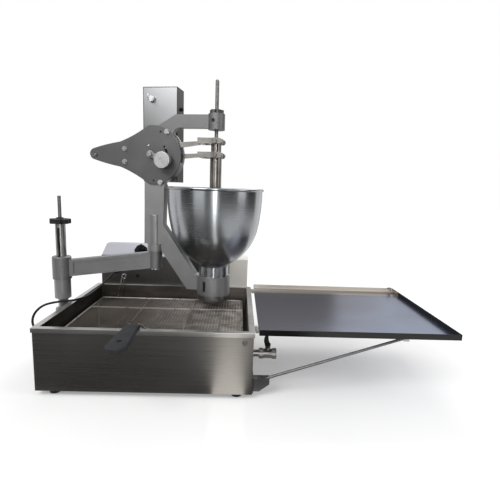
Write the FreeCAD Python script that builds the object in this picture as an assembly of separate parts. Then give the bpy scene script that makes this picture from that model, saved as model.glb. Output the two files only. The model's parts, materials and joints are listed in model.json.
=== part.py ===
import FreeCAD, Part
import math
import os

# Donut maker: a frying tank with a control head behind it, a tray lid hinged on its right side,
# and a depositor with a batter hopper that hangs over the tank on a swing arm and a lifting post.
# Millimetres. +X is to the operator's right, +Y to the back, +Z up.
# Heights are measured from the top of the tank rim; the finished pieces are then lifted to the floor,
# and moved so that the origin is under the middle of the whole machine.

# Tank
tank_w = 600.0
tank_d = 500.0
shell_h = 178.0
sheet = 2.0
rim_t = 2.0
rim_flange = 17.0
rim_lip = 13.0
rim_overhang = 3.0
pan_inset = 14.0
pan_depth = 150.0
pan_taper = 10.0
pan_sheet = 1.5
foot_h = 15.0
foot_r = 17.0
foot_inset_x = 46.0
foot_inset_y = 30.0

# Drain valve on the right wall
drain_y = 150.0
drain_z = -122.0
nipple_r = 11.0
nipple_bore_r = 7.5
nipple_out = 24.0
valve_len = 54.0
valve_r = 14.5
valve_end_r = 16.5
ball_r = 11.0
stem_r = 4.0
stem_rise = 25.0
outlet_r = 9.5
outlet_deep = 14.0
lever_len = 34.0
lever_t = 7.0

# Control head behind the tank
ctrl_w = 570.0
ctrl_d = 112.0
ctrl_rise = 108.0
ctrl_drop = 150.0
slope_d = 65.0
slope_h = 39.0
thermo_x = -140.0
thermo_shaft_r = 3.0
thermo_body = 36.0
dial_r = 25.0
dial_h = 16.0

# Heating elements
element_r = 4.25
element_z = -118.0
element_front = 70.0
element_inner_x = 60.0
element_bend_r = 60.0
element_tail = 34.0

# Devices in the control head
terminal_side = 20.0
terminal_d = 24.0
terminal_rise = 16.0
contactor_x = 120.0
contactor_w = 70.0
contactor_d = 52.0
contactor_h = 70.0
contactor_low = -30.0

# Lifting post on the left wall
post_gap = 46.0
post_y = 300.0
post_r = 16.0
post_wall = 4.0
post_top = 250.0
post_foot = -112.0
slot_w = 8.0
slot_low = 90.0
slot_high = 236.0
sleeve_r = 26.0
sleeve_low = -3.0
sleeve_top = 64.0
bracket_h = 74.0
bracket_t = 6.0
bracket_w = 96.0
bracket_wall = 9.0
sleeve_round = 2.5
rod_r = 5.5
rod_top = 341.0
lift_pin_r = 3.7
lift_pin_z = 104.0
carrier_h = 42.0
coupling_r = 7.0
coupling_h = 48.0
star_r = 33.5
star_h = 20.0
star_lobes = 7

# Swing arm
arm_len = 308.0
arm_angle = 9.3
arm_boss_r = 30.0
arm_boss_h = 76.0
arm_end_r = 23.0
arm_end_low = 100.0
arm_end_h = 60.0
arm_t = 30.0
arm_web_h = 56.0
arm_recess = 4.0
arm_margin = 9.0
arm_foot = 6.0
boss_round = 4.0

# Depositor frame, in its own plane: u from the pivot towards the nozzle, v to the back.
# Rises and drops are from the middle of the fan-shaped housing unless a note says otherwise.
dep_angle = -10.7
reach = 210.0
frame_t = 26.0
flange_w = 10.0
flange_t = 34.0
collar_r = 28.0
collar_h = 25.0
hub_r = 19.0
hub_h = 127.0
pivot_r = 11.0
pin_top = 250.0
pin_head_h = 6.0
pin_head_lip = 5.0
column_l = 36.0
column_r = 36.0
column_drop = 50.0
# The elbow above the collar, the sole above the ring's lower edge.
elbow_rise = 68.0
sole_rise = 10.0
ring_lap = 8.0
toe = 14.0
heel = 44.0
fan_u = 0.0
fan_z = 485.0
fan_r = 96.0
eye_u = -208.0
eye_r = 19.0
wing_neck = 41.0
wing_bow = 20.0
wing_tip_bow = 12.0
fan_front = 14.0
fan_back = 22.0
fan_floor = 12.0
fan_wall = 10.0
mouth_u = 40.0
mouth_low = 23.0
mouth_high = 66.0
cover_t = 6.0
cover_bolts = ((48.0, 75.0), (25.0, -89.0), (-100.0, 18.0), (-100.0, -24.0))
# The sight slot in the cover, from the cam's axis.
sight_u = 51.0
sight_w = 8.0
sight_low = 6.0
sight_high = 24.0
upper_rise = 89.0
upper_h = 42.0
tail_u = -44.0
tail_rise = 60.0
knee_u = 76.0
bend_u = 92.0
root_u = 30.0
root_rise = 40.0
boss_r = 27.0
# The boss, from the underside of the upper arm.
boss_drop = 5.0
boss_rise = 45.0
bolt_head_r = 7.0
bolt_head_h = 5.9
washer_r = 8.5
washer_t = 1.6

# Hopper, clamp ring and nozzle
ring_low = 24.0
ring_top = 88.0
ring_wall = 5.6
neck_r = 50.0
neck_fit = 0.4
neck_low = 10.0
hopper_rim_r = 161.0
hopper_rim_z = 384.0
hopper_sheet = 2.0
throat_h = 34.0
throat_flare = 13.0
belly_r = 142.0
belly_z = 238.0
belly_bow = 13.0
side_bow = 4.4
bead_r = 4.5
nozzle_r = 54.0
nozzle_low = 3.0
nozzle_lip_r = 45.0
gate_u = 14.0
gate_gap = 0.5
tongue_end = -14.0
window_end = -24.0
window_low = 38.0
window_top = 74.0
gate_hinge_u = 16.0
gate_hinge_v = 63.0
knuckle_r = 6.0
gate_pin_r = 3.0

# Cam drive and levers
cam_u = -7.0
cam_rise = 2.0
shaft_r = 8.0
cam_base_r = 12.6
upper_lift = 10.0
lower_lift = 6.0
cam_t = 8.0
lever_bar_t = 8.0
lever_half = 7.0
lever_eye_r = 12.0
lever_pin_r = 7.0
upper_pin_rise = 48.0
lower_pin_rise = 4.0
yoke_half = 9.0
yoke_in = 23.0
yoke_out = 30.0
yoke_tip = 25.0
yoke_root = 55.0
trunnion_r = 5.0
trunnion_head_r = 9.0
crank_reach = 50.0
crank_drop = 20.0
crank_w = 24.0
crank_t = 8.0
crank_bolt_r = 9.0
crank_bolt_h = 7.0
knob_r = 27.0
knob_len = 26.0
running = 0.3

# Plunger, cutter and former
outer_r = 19.0
inner_r = 16.7
tube_wall = 2.0
collar_ring_r = 22.4
former_r = 34.0
former_z = 8.0
former_rod_r = 6.0
# Above the top of the boss.
former_rod_rise = 105.0
skirt_r = 43.0
skirt_low = 30.0
skirt_top = 84.0
flare_top = 96.0
piston_r = 36.0
piston_low = 60.0
piston_h = 10.0
adjust_r = 23.0
adjust_h = 15.0

# Drive box behind the frame
box_l = -52.0
box_r = 69.0
box_drop = 87.0
box_rise = 225.0
box_d = 62.0
button_r = 6.0
button_out = 8.0
button_v = 58.0
# Buttons and dial, down from the top of the box.
button_drops = (92.0, 66.0)
speed_u = -20.0
speed_drop = 38.0
speed_r = 11.0
speed_h = 9.0
speed_edge = 1.5
speed_shaft_r = 3.0
speed_shaft_in = 8.0
button_stop_t = 3.0
button_flange = 2.0
gearbox_w = 60.0
gearbox_d = 42.0
gearbox_h = 64.0
motor_r = 20.0
motor_len = 96.0
shaft_in = 24.0
shaft_room = 6.0

# Fry screen
screen_z = -45.0
screen_front = 26.0
screen_back_in = 48.0
screen_gap = 10.0
wire_r = 3.0
cross_r = 2.5
frame_bend_r = 14.0
screen_leg_in = 50.0
tie_share = 0.28
mesh_t = 1.2
mesh_cols = 17
mesh_rows = 13
mesh_bar = 7.0
mesh_in = 4.0
cross_x = 86.0
grip_x = -33.0
grip_len = 168.0
grip_w = 39.0
grip_end_w = 52.0
grip_t = 12.0
grip_wire_gap = 26.0
grip_wire_r = 2.5
grip_wire_flat = 14.0
grip_wire_run = 92.0
grip_lap = 2.0
grip_shoulder = 24.0
grip_edge = 2.5
grip_hole_r = 6.0
grip_hole_in = 24.0
hook_in = 74.0
hook_top = 50.0
hook_eye_r = 8.0
hook_wire_r = 2.2
hook_leg_r = 1.8
hook_spread = 18.0

# Lid and its strut
lid_gap = 11.0
lid_len = 557.0
lid_skirt = 17.0
lid_t = 2.0
lid_z = -6.0
hinge_w = 40.0
hinge_inset = 25.0
hinge_off = 6.0
hinge_r = 4.0
hinge_leaf = 24.0
hinge_clear = 0.8
strut_y = 30.0
strut_r = 4.0
strut_reach = 424.0
strut_pin_drop = 8.0
strut_pin_r = 2.5
strut_eye_r = 5.5
strut_eye_w = 13.0
eye_plate = 24.0
eye_plate_t = 2.0
eye_half = 10.0
cheek_t = 3.0
cheek_half = 8.0
cheek_low = 6.0
pin_proud = 2.0
seat_wall = 4.0
seat_side = 3.0
seat_drop = 34.0
seat_foot = 20.0
seat_nose = 14.0
seat_nose_drop = 12.0
seat_rise = 6.0
seat_ear = 16.0
seat_ear_t = 3.0
seat_ear_rise = 14.0
seat_groove = 2.0
strut_seat_x = 32.0
strut_seat_z = -145.0

# Lead from the control head over the left rim
lead_r = 3.5
gland_r = 9.0
gland_len = 18.0
gland_flange = 3.0
gland_nut_t = 8.0
gland_flange_t = 6.0
lead_x = -226.0
lead_z = 52.0
side_gland_y = 150.0
side_gland_z = -80.0

V = FreeCAD.Vector
UP = V(0, 0, 1)


def box(x0, x1, y0, y1, z0, z1):
    return Part.makeBox(x1 - x0, y1 - y0, z1 - z0, V(x0, y0, z0))


def rod(r, start, end):
    a = V(*start)
    b = V(*end)
    return Part.makeCylinder(r, (b - a).Length, a, b - a)


def wire_of(start, steps, to3d):
    # Each step is (end) for a straight run or (through, end) for an arc.
    edges = []
    here = start
    for step in steps:
        if len(step) == 2 and not isinstance(step[0], tuple):
            edges.append(Part.LineSegment(to3d(here), to3d(step)).toShape())
            here = step
        else:
            edges.append(Part.Arc(to3d(here), to3d(step[0]), to3d(step[1])).toShape())
            here = step[1]
    return Part.Wire(edges)


def slab(start, steps, v0, v1):
    # A closed outline in the u-z plane, thickened from v0 to v1.
    face = Part.Face(wire_of(start, steps, lambda p: V(p[0], v0, p[1])))
    return face.extrude(V(0, v1 - v0, 0))


def turned(start, steps, u=0.0):
    # A closed r-z outline revolved about the vertical axis at u.
    face = Part.Face(wire_of(start, steps, lambda p: V(p[0], 0, p[1])))
    solid = face.revolve(V(0, 0, 0), UP, 360)
    solid.translate(V(u, 0, 0))
    return solid


def fuse(shapes):
    return shapes[0].multiFuse(shapes[1:]).removeSplitter()


def cut(shape, tools):
    return shape.cut(Part.Compound(tools) if len(tools) > 1 else tools[0])


def group(shapes):
    return Part.Compound(shapes)


def edges_at(shape, z):
    return [e for e in shape.Edges if abs(e.CenterOfMass.z - z) < 0.01]


def star(r, h, lobes, z0, bore):
    # A hand knob with round lobes and a raised hub.
    lobe_r = r * math.sin(math.pi / lobes) * 0.86
    ring = r - lobe_r
    pieces = [Part.makeCylinder(ring, h, V(0, 0, z0))]
    for n in range(lobes):
        a = math.pi + 2 * math.pi * n / lobes
        pieces.append(Part.makeCylinder(lobe_r, h, V(ring * math.cos(a), ring * math.sin(a), z0)))
    body = fuse(pieces)
    hub = Part.makeCone(ring * 0.62, ring * 0.5, h * 0.3, V(0, 0, z0 + h))
    body = fuse([body, hub])
    return cut(body, [Part.makeCylinder(bore, h * 2, V(0, 0, z0 - h * 0.3))])


# Places that several pieces share
half_w = tank_w / 2
shell_top = -rim_t
shell_low = shell_top - shell_h
rim_z = foot_h + shell_h + rim_t
wall_x = half_w - rim_overhang
pan_top_x = half_w - pan_inset
pan_low_x = pan_top_x - pan_taper
pan_floor = -pan_depth
post_x = -half_w - post_gap
ctrl_front = tank_d
ctrl_back = tank_d + ctrl_d
lid_left = half_w + lid_gap
lid_right = lid_left + lid_len
axis_x = half_w + hinge_off
axis_z = lid_z + lid_t / 2
pivot_x = post_x + arm_len * math.cos(math.radians(arm_angle))
pivot_y = post_y + arm_len * math.sin(math.radians(arm_angle))
upper_z = fan_z + upper_rise
boss_low = upper_z - boss_drop
boss_top = upper_z + boss_rise
cam_z = fan_z + cam_rise
upper_pin_z = fan_z + upper_pin_rise
lower_pin_z = fan_z + lower_pin_rise
former_rod_top = boss_top + former_rod_rise
box_low = fan_z - box_drop
box_top = fan_z + box_rise
button_zs = [box_top - drop for drop in button_drops]
speed_z = box_top - speed_drop
grip_back = rim_flange + grip_lap
grip_front = grip_back - grip_len
screen_back = tank_d - screen_back_in
screen_half = pan_low_x - screen_gap
hook_x = hook_in - screen_half
x_mid = (lid_right + post_x - star_r) / 2
y_mid = (ctrl_back + grip_front) / 2
parts = {}


def on_arm(shape):
    shape = shape.copy()
    shape.rotate(V(0, 0, 0), UP, arm_angle)
    shape.translate(V(post_x, post_y, 0))
    return shape


def on_depositor(shape):
    shape = shape.copy()
    shape.rotate(V(0, 0, 0), UP, dep_angle)
    shape.translate(V(pivot_x, pivot_y, 0))
    return shape


def on_post(shape):
    shape = shape.copy()
    shape.translate(V(post_x, post_y, 0))
    return shape


def element_legs():
    far_x = element_inner_x + 2 * element_bend_r
    return [-far_x, -element_inner_x, element_inner_x, far_x]


def element_bores(r):
    y0 = tank_d - pan_inset - pan_taper - 4
    return [rod(r, (x, y0, element_z), (x, ctrl_front + sheet + 1, element_z)) for x in element_legs()]


def make_shell():
    y0 = rim_overhang
    y1 = tank_d - rim_overhang
    outer = box(-wall_x, wall_x, y0, y1, shell_low, shell_top)
    inner = box(-wall_x + sheet, wall_x - sheet, y0 + sheet, y1 - sheet, shell_low + sheet, shell_top + 1)
    tools = [inner] + element_bores(element_r + running / 2)
    tools.append(rod(nipple_r + running / 2, (wall_x - 9, drain_y, drain_z), (wall_x + 9, drain_y, drain_z)))
    return cut(outer, tools)


def make_rim():
    top = box(-half_w, half_w, 0, tank_d, -rim_t, 0)
    lip = box(-half_w, half_w, 0, tank_d, -rim_lip, -rim_t)
    hollow = box(-half_w + sheet, half_w - sheet, sheet, tank_d - sheet, -rim_lip - 1, -rim_t)
    mouth = box(-half_w + rim_flange, half_w - rim_flange, rim_flange, tank_d - rim_flange, -rim_t - 1, 1)
    return cut(fuse([top, cut(lip, [hollow])]), [mouth])


def pan_section(x, y0, y1, z):
    return Part.makePolygon([V(-x, y0, z), V(x, y0, z), V(x, y1, z), V(-x, y1, z), V(-x, y0, z)])


def pan_block(offset, low, high):
    # A tapered block between the heights low and high, inside the pan's outer face by offset.
    rings = []
    for z in (low, high):
        inset = pan_inset + offset - pan_taper * z / pan_depth
        rings.append(pan_section(half_w - inset, inset, tank_d - inset, z))
    return Part.makeLoft(rings, True, True)


def make_pan():
    walls = pan_block(0, pan_floor, -rim_t)
    tools = [pan_block(pan_sheet, pan_floor + pan_sheet, 1.0)] + element_bores(element_r + running / 2)
    x0 = pan_low_x - 9
    tools.append(rod(nipple_r + running / 2, (x0, drain_y, drain_z), (half_w, drain_y, drain_z)))
    return cut(walls, tools)


def make_feet():
    feet = []
    for x in (-half_w + foot_inset_x, half_w - foot_inset_x):
        for y in (foot_inset_y, tank_d - foot_inset_y):
            feet.append(Part.makeCone(foot_r * 0.86, foot_r, foot_h, V(x, y, shell_low - foot_h)))
    return group(feet)


def make_nipple():
    x0 = pan_low_x - 6
    x1 = wall_x + nipple_out
    pipe = rod(nipple_r, (x0, drain_y, drain_z), (x1, drain_y, drain_z))
    return cut(pipe, [rod(nipple_bore_r, (x0 - 1, drain_y, drain_z), (x1 + 1, drain_y, drain_z))])


def valve_mouth():
    return wall_x + nipple_out + valve_len


def make_valve():
    x0 = wall_x + nipple_out
    end = valve_len * 0.24
    pieces = [rod(valve_r, (x0, drain_y, drain_z), (x0 + valve_len, drain_y, drain_z))]
    for x in (x0, x0 + valve_len - end):
        corners = []
        for n in range(7):
            a = math.radians(60 * n)
            corners.append(V(x, drain_y + valve_end_r * math.cos(a), drain_z + valve_end_r * math.sin(a)))
        pieces.append(Part.Face(Part.makePolygon(corners)).extrude(V(end, 0, 0)))
    xm = x0 + valve_len / 2
    pieces.append(rod(stem_r + 4, (xm, drain_y, drain_z), (xm, drain_y, drain_z + stem_rise - 4)))
    body = fuse(pieces)
    tools = [rod(nipple_bore_r, (x0 - 1, drain_y, drain_z), (x0 + valve_len + 1, drain_y, drain_z))]
    tools.append(rod(outlet_r, (valve_mouth() - outlet_deep, drain_y, drain_z),
                     (valve_mouth() + 1, drain_y, drain_z)))
    tools.append(Part.makeSphere(ball_r + running, V(xm, drain_y, drain_z)))
    tools.append(rod(stem_r + running, (xm, drain_y, drain_z), (xm, drain_y, drain_z + stem_rise)))
    return cut(body, tools)


def make_valve_ball():
    xm = wall_x + nipple_out + valve_len / 2
    ball = Part.makeSphere(ball_r, V(xm, drain_y, drain_z))
    stem = rod(stem_r, (xm, drain_y, drain_z), (xm, drain_y, drain_z + stem_rise))
    bore = rod(nipple_bore_r, (xm - valve_len, drain_y, drain_z), (xm + valve_len, drain_y, drain_z))
    return fuse([cut(ball, [bore]), cut(stem, [bore])])


def make_valve_lever():
    # A short wing that stands up from the stem and leans back along the pipe.
    xm = wall_x + nipple_out + valve_len / 2
    z0 = drain_z + stem_rise
    base_r = stem_r + 5
    base = rod(base_r, (xm, drain_y, z0), (xm, drain_y, z0 + lever_t))
    u0 = -base_r
    wing = slab((u0, z0 + lever_t / 2),
                [((u0 - 3, z0 + lever_len * 0.55), (u0 + 2, z0 + lever_len)),
                 ((u0 + 7, z0 + lever_len + 2), (u0 + 10, z0 + lever_len - 4)),
                 ((u0 + 12, z0 + lever_len * 0.5), (base_r, z0 + lever_t / 2)),
                 (u0, z0 + lever_t / 2)], -lever_t / 2, lever_t / 2)
    wing.translate(V(xm, drain_y, 0))
    return fuse([base, wing])


def control_outline(t):
    y0 = ctrl_front + t
    y1 = ctrl_back - t
    run = math.hypot(slope_d, slope_h)
    tilt_y = t * slope_h / run
    tilt_z = t * slope_d / run
    z_edge = ctrl_rise + (t - tilt_y) * slope_h / slope_d - tilt_z
    top = ctrl_rise + slope_h - t
    y_edge = y0 + (top - z_edge) * slope_d / slope_h
    low = -ctrl_drop + t
    points = [(y0, low), (y0, z_edge), (y_edge, top), (y1, top), (y1, low)]
    return [V(0, y, z) for y, z in points + points[:1]]


def control_prism(t, x0, x1):
    face = Part.Face(Part.makePolygon(control_outline(t)))
    face.translate(V(x0, 0, 0))
    return face.extrude(V(x1 - x0, 0, 0))


def slope_place(x):
    # The middle of the sloped panel and the direction square to it.
    run = math.hypot(slope_d, slope_h)
    centre = V(x, ctrl_front + slope_d / 2, ctrl_rise + slope_h / 2)
    return centre, V(0, -slope_h / run, slope_d / run)


def make_control_housing():
    half = ctrl_w / 2
    shell = control_prism(0, -half, half)
    room = control_prism(sheet, -half + sheet, half - sheet)
    back = box(-half + sheet, half - sheet, ctrl_back - 2 * sheet, ctrl_back + 1,
               -ctrl_drop + sheet, ctrl_rise + slope_h - sheet)
    centre, normal = slope_place(thermo_x)
    hole = Part.makeCylinder(thermo_shaft_r + running, 8 * sheet, centre - normal * 4 * sheet, normal)
    return cut(shell, [room, back, hole] + element_bores(element_r + running / 2))


def make_control_back():
    half = ctrl_w / 2 - sheet
    return box(-half, half, ctrl_back - sheet, ctrl_back, -ctrl_drop + sheet, ctrl_rise + slope_h - sheet)


def make_thermostat():
    centre, normal = slope_place(thermo_x)
    inside = centre - normal * sheet
    side = V(1, 0, 0)
    down = normal.cross(side)
    half = thermo_body / 2
    corners = []
    for a, b in ((-1, -1), (1, -1), (1, 1), (-1, 1), (-1, -1)):
        corners.append(inside + side * a * half + down * b * half)
    case = Part.Face(Part.makePolygon(corners)).extrude(normal * -thermo_body * 0.7)
    shaft = Part.makeCylinder(thermo_shaft_r, dial_h * 0.6 + sheet, inside, normal)
    return fuse([case, shaft])


def make_thermostat_dial():
    centre, normal = slope_place(thermo_x)
    seat = centre + normal * running
    skirt = Part.makeCylinder(dial_r, dial_h * 0.3, seat, normal)
    body = Part.makeCone(dial_r * 0.8, dial_r * 0.7, dial_h * 0.7, seat + normal * dial_h * 0.3, normal)
    bore = Part.makeCylinder(thermo_shaft_r + running / 2, dial_h * 0.6 + 1, seat - normal, normal)
    return cut(fuse([skirt, body]), [bore])


def make_element(side):
    near = side * element_inner_x
    far = side * (element_inner_x + 2 * element_bend_r)
    mid = side * (element_inner_x + element_bend_r)
    y0 = ctrl_front + sheet + element_tail
    y1 = element_front + element_bend_r
    path = wire_of((near, y0), [(near, y1), ((mid, element_front), (far, y1)), (far, y0)],
                   lambda p: V(p[0], p[1], element_z))
    ring = Part.Wire(Part.makeCircle(element_r, V(near, y0, element_z), V(0, 1, 0)))
    return path.makePipeShell([ring], True, False)


def make_terminal_block():
    far = element_inner_x + 2 * element_bend_r + terminal_side
    y0 = ctrl_front + sheet + element_tail
    return box(-far, far, y0, y0 + terminal_d, -ctrl_drop + sheet, element_z + terminal_rise)


def make_contactor():
    y1 = ctrl_back - sheet
    x1 = contactor_x + contactor_w
    return box(contactor_x, x1, y1 - contactor_d, y1, contactor_low, contactor_low + contactor_h)


def make_bracket():
    z0 = post_foot
    z1 = z0 + bracket_h
    boss = Part.makeCylinder(post_r + bracket_wall, bracket_h, V(post_x, post_y, z0))
    plate = box(-wall_x - bracket_t, -wall_x, post_y - bracket_w / 2, post_y + bracket_w / 2, z0, z1)
    web = box(post_x, -wall_x, post_y - post_r, post_y + post_r, z0, z1)
    bore = Part.makeCylinder(post_r, bracket_h + 2, V(post_x, post_y, z0 - 1))
    return cut(fuse([boss, plate, web]), [bore])


def make_post():
    tube = Part.makeCylinder(post_r, post_top - post_foot, V(0, 0, post_foot))
    bore = Part.makeCylinder(post_r - post_wall, post_top - post_foot + 2, V(0, 0, post_foot - 1))
    w = slot_w / 2
    slot = box(-w, w, -post_r - 1, post_r + 1, slot_low, slot_high)
    return on_post(cut(tube, [bore, slot]))


def make_sleeve():
    h = sleeve_top - sleeve_low
    ring = Part.makeCylinder(sleeve_r, h, V(0, 0, sleeve_low))
    ring = ring.makeFillet(sleeve_round, edges_at(ring, sleeve_low))
    return on_post(cut(ring, [Part.makeCylinder(post_r, h + 2, V(0, 0, sleeve_low - 1))]))


def make_carrier():
    # The plug that slides in the post, its cross pin and the coupling that holds the threaded rod.
    plug_r = post_r - post_wall - running
    z0 = lift_pin_z - carrier_h / 2
    plug = Part.makeCylinder(plug_r, carrier_h, V(0, 0, z0))
    pin_end = sleeve_r - 4
    pin = rod(lift_pin_r, (0, -pin_end, lift_pin_z), (0, pin_end, lift_pin_z))
    coupling = Part.makeCylinder(coupling_r, coupling_h, V(0, 0, z0 + carrier_h))
    return on_post(fuse([plug, pin, coupling]))


def make_lift_rod():
    z0 = lift_pin_z + carrier_h / 2 + coupling_h
    return on_post(Part.makeCylinder(rod_r, rod_top - z0, V(0, 0, z0)))


def make_lift_knob():
    return on_post(star(star_r, star_h * 0.77, star_lobes, post_top + running, rod_r + running))


def make_arm():
    z0 = sleeve_top + running
    boss = Part.makeCylinder(arm_boss_r, arm_boss_h, V(0, 0, z0))
    boss = boss.makeFillet(boss_round, edges_at(boss, z0 + arm_boss_h))
    end = Part.makeCylinder(arm_end_r, arm_end_h, V(arm_len, 0, arm_end_low))
    web_low = z0 + arm_foot
    rise = arm_end_low + 2 - web_low
    t = arm_t / 2

    def bar(inset, v0, v1):
        x0 = 0 if inset == 0 else arm_boss_r + inset
        x1 = arm_len if inset == 0 else arm_len - arm_end_r - inset
        low = web_low + inset
        high = web_low + arm_web_h - inset
        k = rise / arm_len
        return slab((x0, low + k * x0), [(x1, low + k * x1), (x1, high + k * x1), (x0, high + k * x0),
                                         (x0, low + k * x0)], v0, v1)

    body = fuse([boss, end, bar(0, -t, t)])
    pin_room = Part.makeCylinder(sleeve_r - 3, lift_pin_z + lift_pin_r + running - z0 + 1, V(0, 0, z0 - 1))
    tools = [Part.makeCylinder(post_r + running, arm_boss_h + 9, V(0, 0, z0 - 1)), pin_room]
    tools.append(Part.makeCylinder(pivot_r + running, arm_end_h + 2, V(arm_len, 0, arm_end_low - 1)))
    tools.append(bar(arm_margin, t - arm_recess, t + 1))
    tools.append(bar(arm_margin, -t - 1, -t + arm_recess))
    return on_arm(cut(body, tools))


def fan_steps(inset):
    # The fan-shaped housing outline: a round hub, a long tapering wing and a small eye at its tip.
    big = fan_r - inset
    tip = eye_r - inset
    neck_u = eye_u + 90
    neck = wing_neck - inset
    hub_a = math.radians(100)
    top = (fan_u + big * math.cos(hub_a), fan_z + big * math.sin(hub_a))
    low = (top[0], 2 * fan_z - top[1])
    eye_top = (eye_u - tip * 0.2, fan_z + tip * 0.98)
    eye_low = (eye_top[0], 2 * fan_z - eye_top[1])
    steps = [((fan_u + big, fan_z), top),
             ((neck_u + 46, fan_z + neck + wing_bow), (neck_u, fan_z + neck)),
             ((eye_u + 40, fan_z + tip + wing_tip_bow), eye_top),
             ((eye_u - tip, fan_z), eye_low),
             ((eye_u + 40, fan_z - tip - wing_tip_bow), (neck_u, fan_z - neck)),
             ((neck_u + 46, fan_z - neck - wing_bow), low)]
    return low, steps


def fan_slab(inset, v0, v1):
    start, steps = fan_steps(inset)
    return slab(start, steps, v0, v1)


def ring_tube(low, high, fit):
    ring = Part.makeCylinder(neck_r + fit + ring_wall, high - low, V(reach, 0, low))
    return cut(ring, [Part.makeCylinder(neck_r + fit, high - low + 2, V(reach, 0, low - 1))])


def knuckle(low, high):
    return Part.makeCylinder(knuckle_r, high - low, V(reach + gate_hinge_u, gate_hinge_v, low))


def make_frame():
    t = frame_t / 2
    ft = flange_t / 2
    ring_r = neck_r + neck_fit + ring_wall
    foot_z = arm_end_low + arm_end_h + running * 2
    collar = Part.makeCylinder(collar_r, collar_h, V(0, 0, foot_z))
    hub = Part.makeCylinder(hub_r, hub_h, V(0, 0, foot_z))
    hub = hub.makeFillet(boss_round, edges_at(hub, foot_z + hub_h))
    collar_top = foot_z + collar_h
    elbow = collar_top + elbow_rise
    ring_u = reach - ring_r + ring_lap
    sole = ring_low + sole_rise
    column_top = fan_z - column_drop
    column = slab((-column_l, collar_top),
                  [(-column_l + 3, column_top), (column_r + 2, column_top), (column_r - 2, elbow),
                   (ring_u - toe, ring_top), (ring_u, ring_top), (ring_u, sole), (ring_u - heel, sole),
                   (arm_end_r + 4, foot_z), (arm_end_r, collar_top), (-column_l, collar_top)], -t, t)
    w = flange_w
    flange_top = fan_z - fan_r
    flange = slab((column_r + 2 - w, flange_top),
                  [(column_r + 2, flange_top), (column_r - 2, elbow), (ring_u - toe, ring_top),
                   (ring_u, ring_top), (ring_u, ring_top - w), (ring_u - toe - 6, ring_top - w),
                   (column_r - 2 - w, elbow - 4), (column_r + 2 - w, flange_top)], -ft, ft)
    fan = fan_slab(0, -fan_front, fan_back)
    arm_low = upper_z
    arm_high = upper_z + upper_h
    tail = (tail_u, fan_z + tail_rise)
    upper = slab(tail, [(knee_u, arm_high), (reach, arm_high), (reach, arm_low), (bend_u, arm_low),
                        ((bend_u - 18, arm_low - 6), (bend_u - 26, arm_low - 26)),
                        (root_u, fan_z + root_rise), tail], -t, t)
    boss = Part.makeCylinder(boss_r, boss_top - boss_low, V(reach, 0, boss_low))
    ring = ring_tube(ring_low, ring_top, neck_fit)
    ring = cut(ring, [box(reach + gate_u, reach + 99, -99, 99, 0, ring_top + 9)])
    third = (ring_top - ring_low) / 3
    lugs = []
    for low in (ring_low, ring_low + 2 * third):
        lug = box(reach, reach + gate_u, gate_hinge_v - 9, gate_hinge_v + 4, low, low + third)
        lugs.append(fuse([knuckle(low, low + third), lug]))
    body = fuse([collar, hub, column, flange, fan, upper, boss, ring] + lugs)
    room = fan_slab(fan_wall, -fan_front - 1, fan_back - fan_floor)
    mouth = box(mouth_u, fan_u + fan_r + 9, -fan_front - 1, fan_back - fan_floor,
                fan_z - mouth_low, fan_z + mouth_high)
    bore_r = neck_r + neck_fit
    eye_room = rod(lever_eye_r + 1, (eye_u, -fan_front - 1, fan_z), (eye_u, fan_back - fan_floor, fan_z))
    tools = [room, mouth, eye_room]
    tools.append(Part.makeCylinder(pivot_r, pin_top - foot_z, V(0, 0, foot_z)))
    tools.append(Part.makeCylinder(former_rod_r + running, 90, V(reach, 0, boss_low - 20)))
    tools.append(Part.makeCylinder(bore_r, ring_top - ring_low + 2, V(reach, 0, ring_low - 1)))
    tools.append(box(reach + window_end, reach + gate_u + 1, -99, -9, window_low, window_top))
    hinge = V(reach + gate_hinge_u, gate_hinge_v, ring_low - 9)
    tools.append(Part.makeCylinder(gate_pin_r, 2 * ring_top, hinge))
    tools.append(rod(shaft_r + running, (cam_u, -99, cam_z), (cam_u, 99, cam_z)))
    tools.append(rod(lever_pin_r, (eye_u, -99, fan_z), (eye_u, 99, fan_z)))
    return on_depositor(cut(body, tools))


def make_pivot_pin():
    z0 = arm_end_low - running
    head = Part.makeCylinder(pivot_r + pin_head_lip, pin_head_h, V(0, 0, z0 - pin_head_h))
    return on_depositor(fuse([head, Part.makeCylinder(pivot_r, pin_top - z0, V(0, 0, z0))]))


def make_cover():
    front = -fan_front - cover_t
    plate = fan_slab(0, front, -fan_front)
    tools = [rod(shaft_r + running, (cam_u, -99, cam_z), (cam_u, 99, cam_z))]
    tools.append(rod(lever_pin_r, (eye_u, -99, fan_z), (eye_u, 99, fan_z)))
    u = cam_u + sight_u
    w = sight_w
    low = cam_z + sight_low
    high = cam_z + sight_high
    slot = slab((u - w, high),
                [((u - w / 2, high + w / 2), (u, high)), (u + w, low),
                 ((u + w / 2, low - w / 2), (u, low)), (u - w, high)], front - 1, -fan_front + 1)
    return on_depositor(cut(plate, tools + [slot]))


def hex_head(r, u, z, v0, v1):
    corners = []
    for n in range(7):
        a = math.radians(60 * n)
        corners.append(V(u + r * math.cos(a), v0, z + r * math.sin(a)))
    return Part.Face(Part.makePolygon(corners)).extrude(V(0, v1 - v0, 0))


def make_cover_bolts():
    face = -fan_front - cover_t
    bolts = []
    for u, rise in cover_bolts:
        z = fan_z + rise
        seat = face - washer_t
        washer = rod(washer_r, (u, seat, z), (u, face, z))
        bolts.append(fuse([washer, hex_head(bolt_head_r, u, z, seat - bolt_head_h, seat)]))
    return on_depositor(group(bolts))


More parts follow.
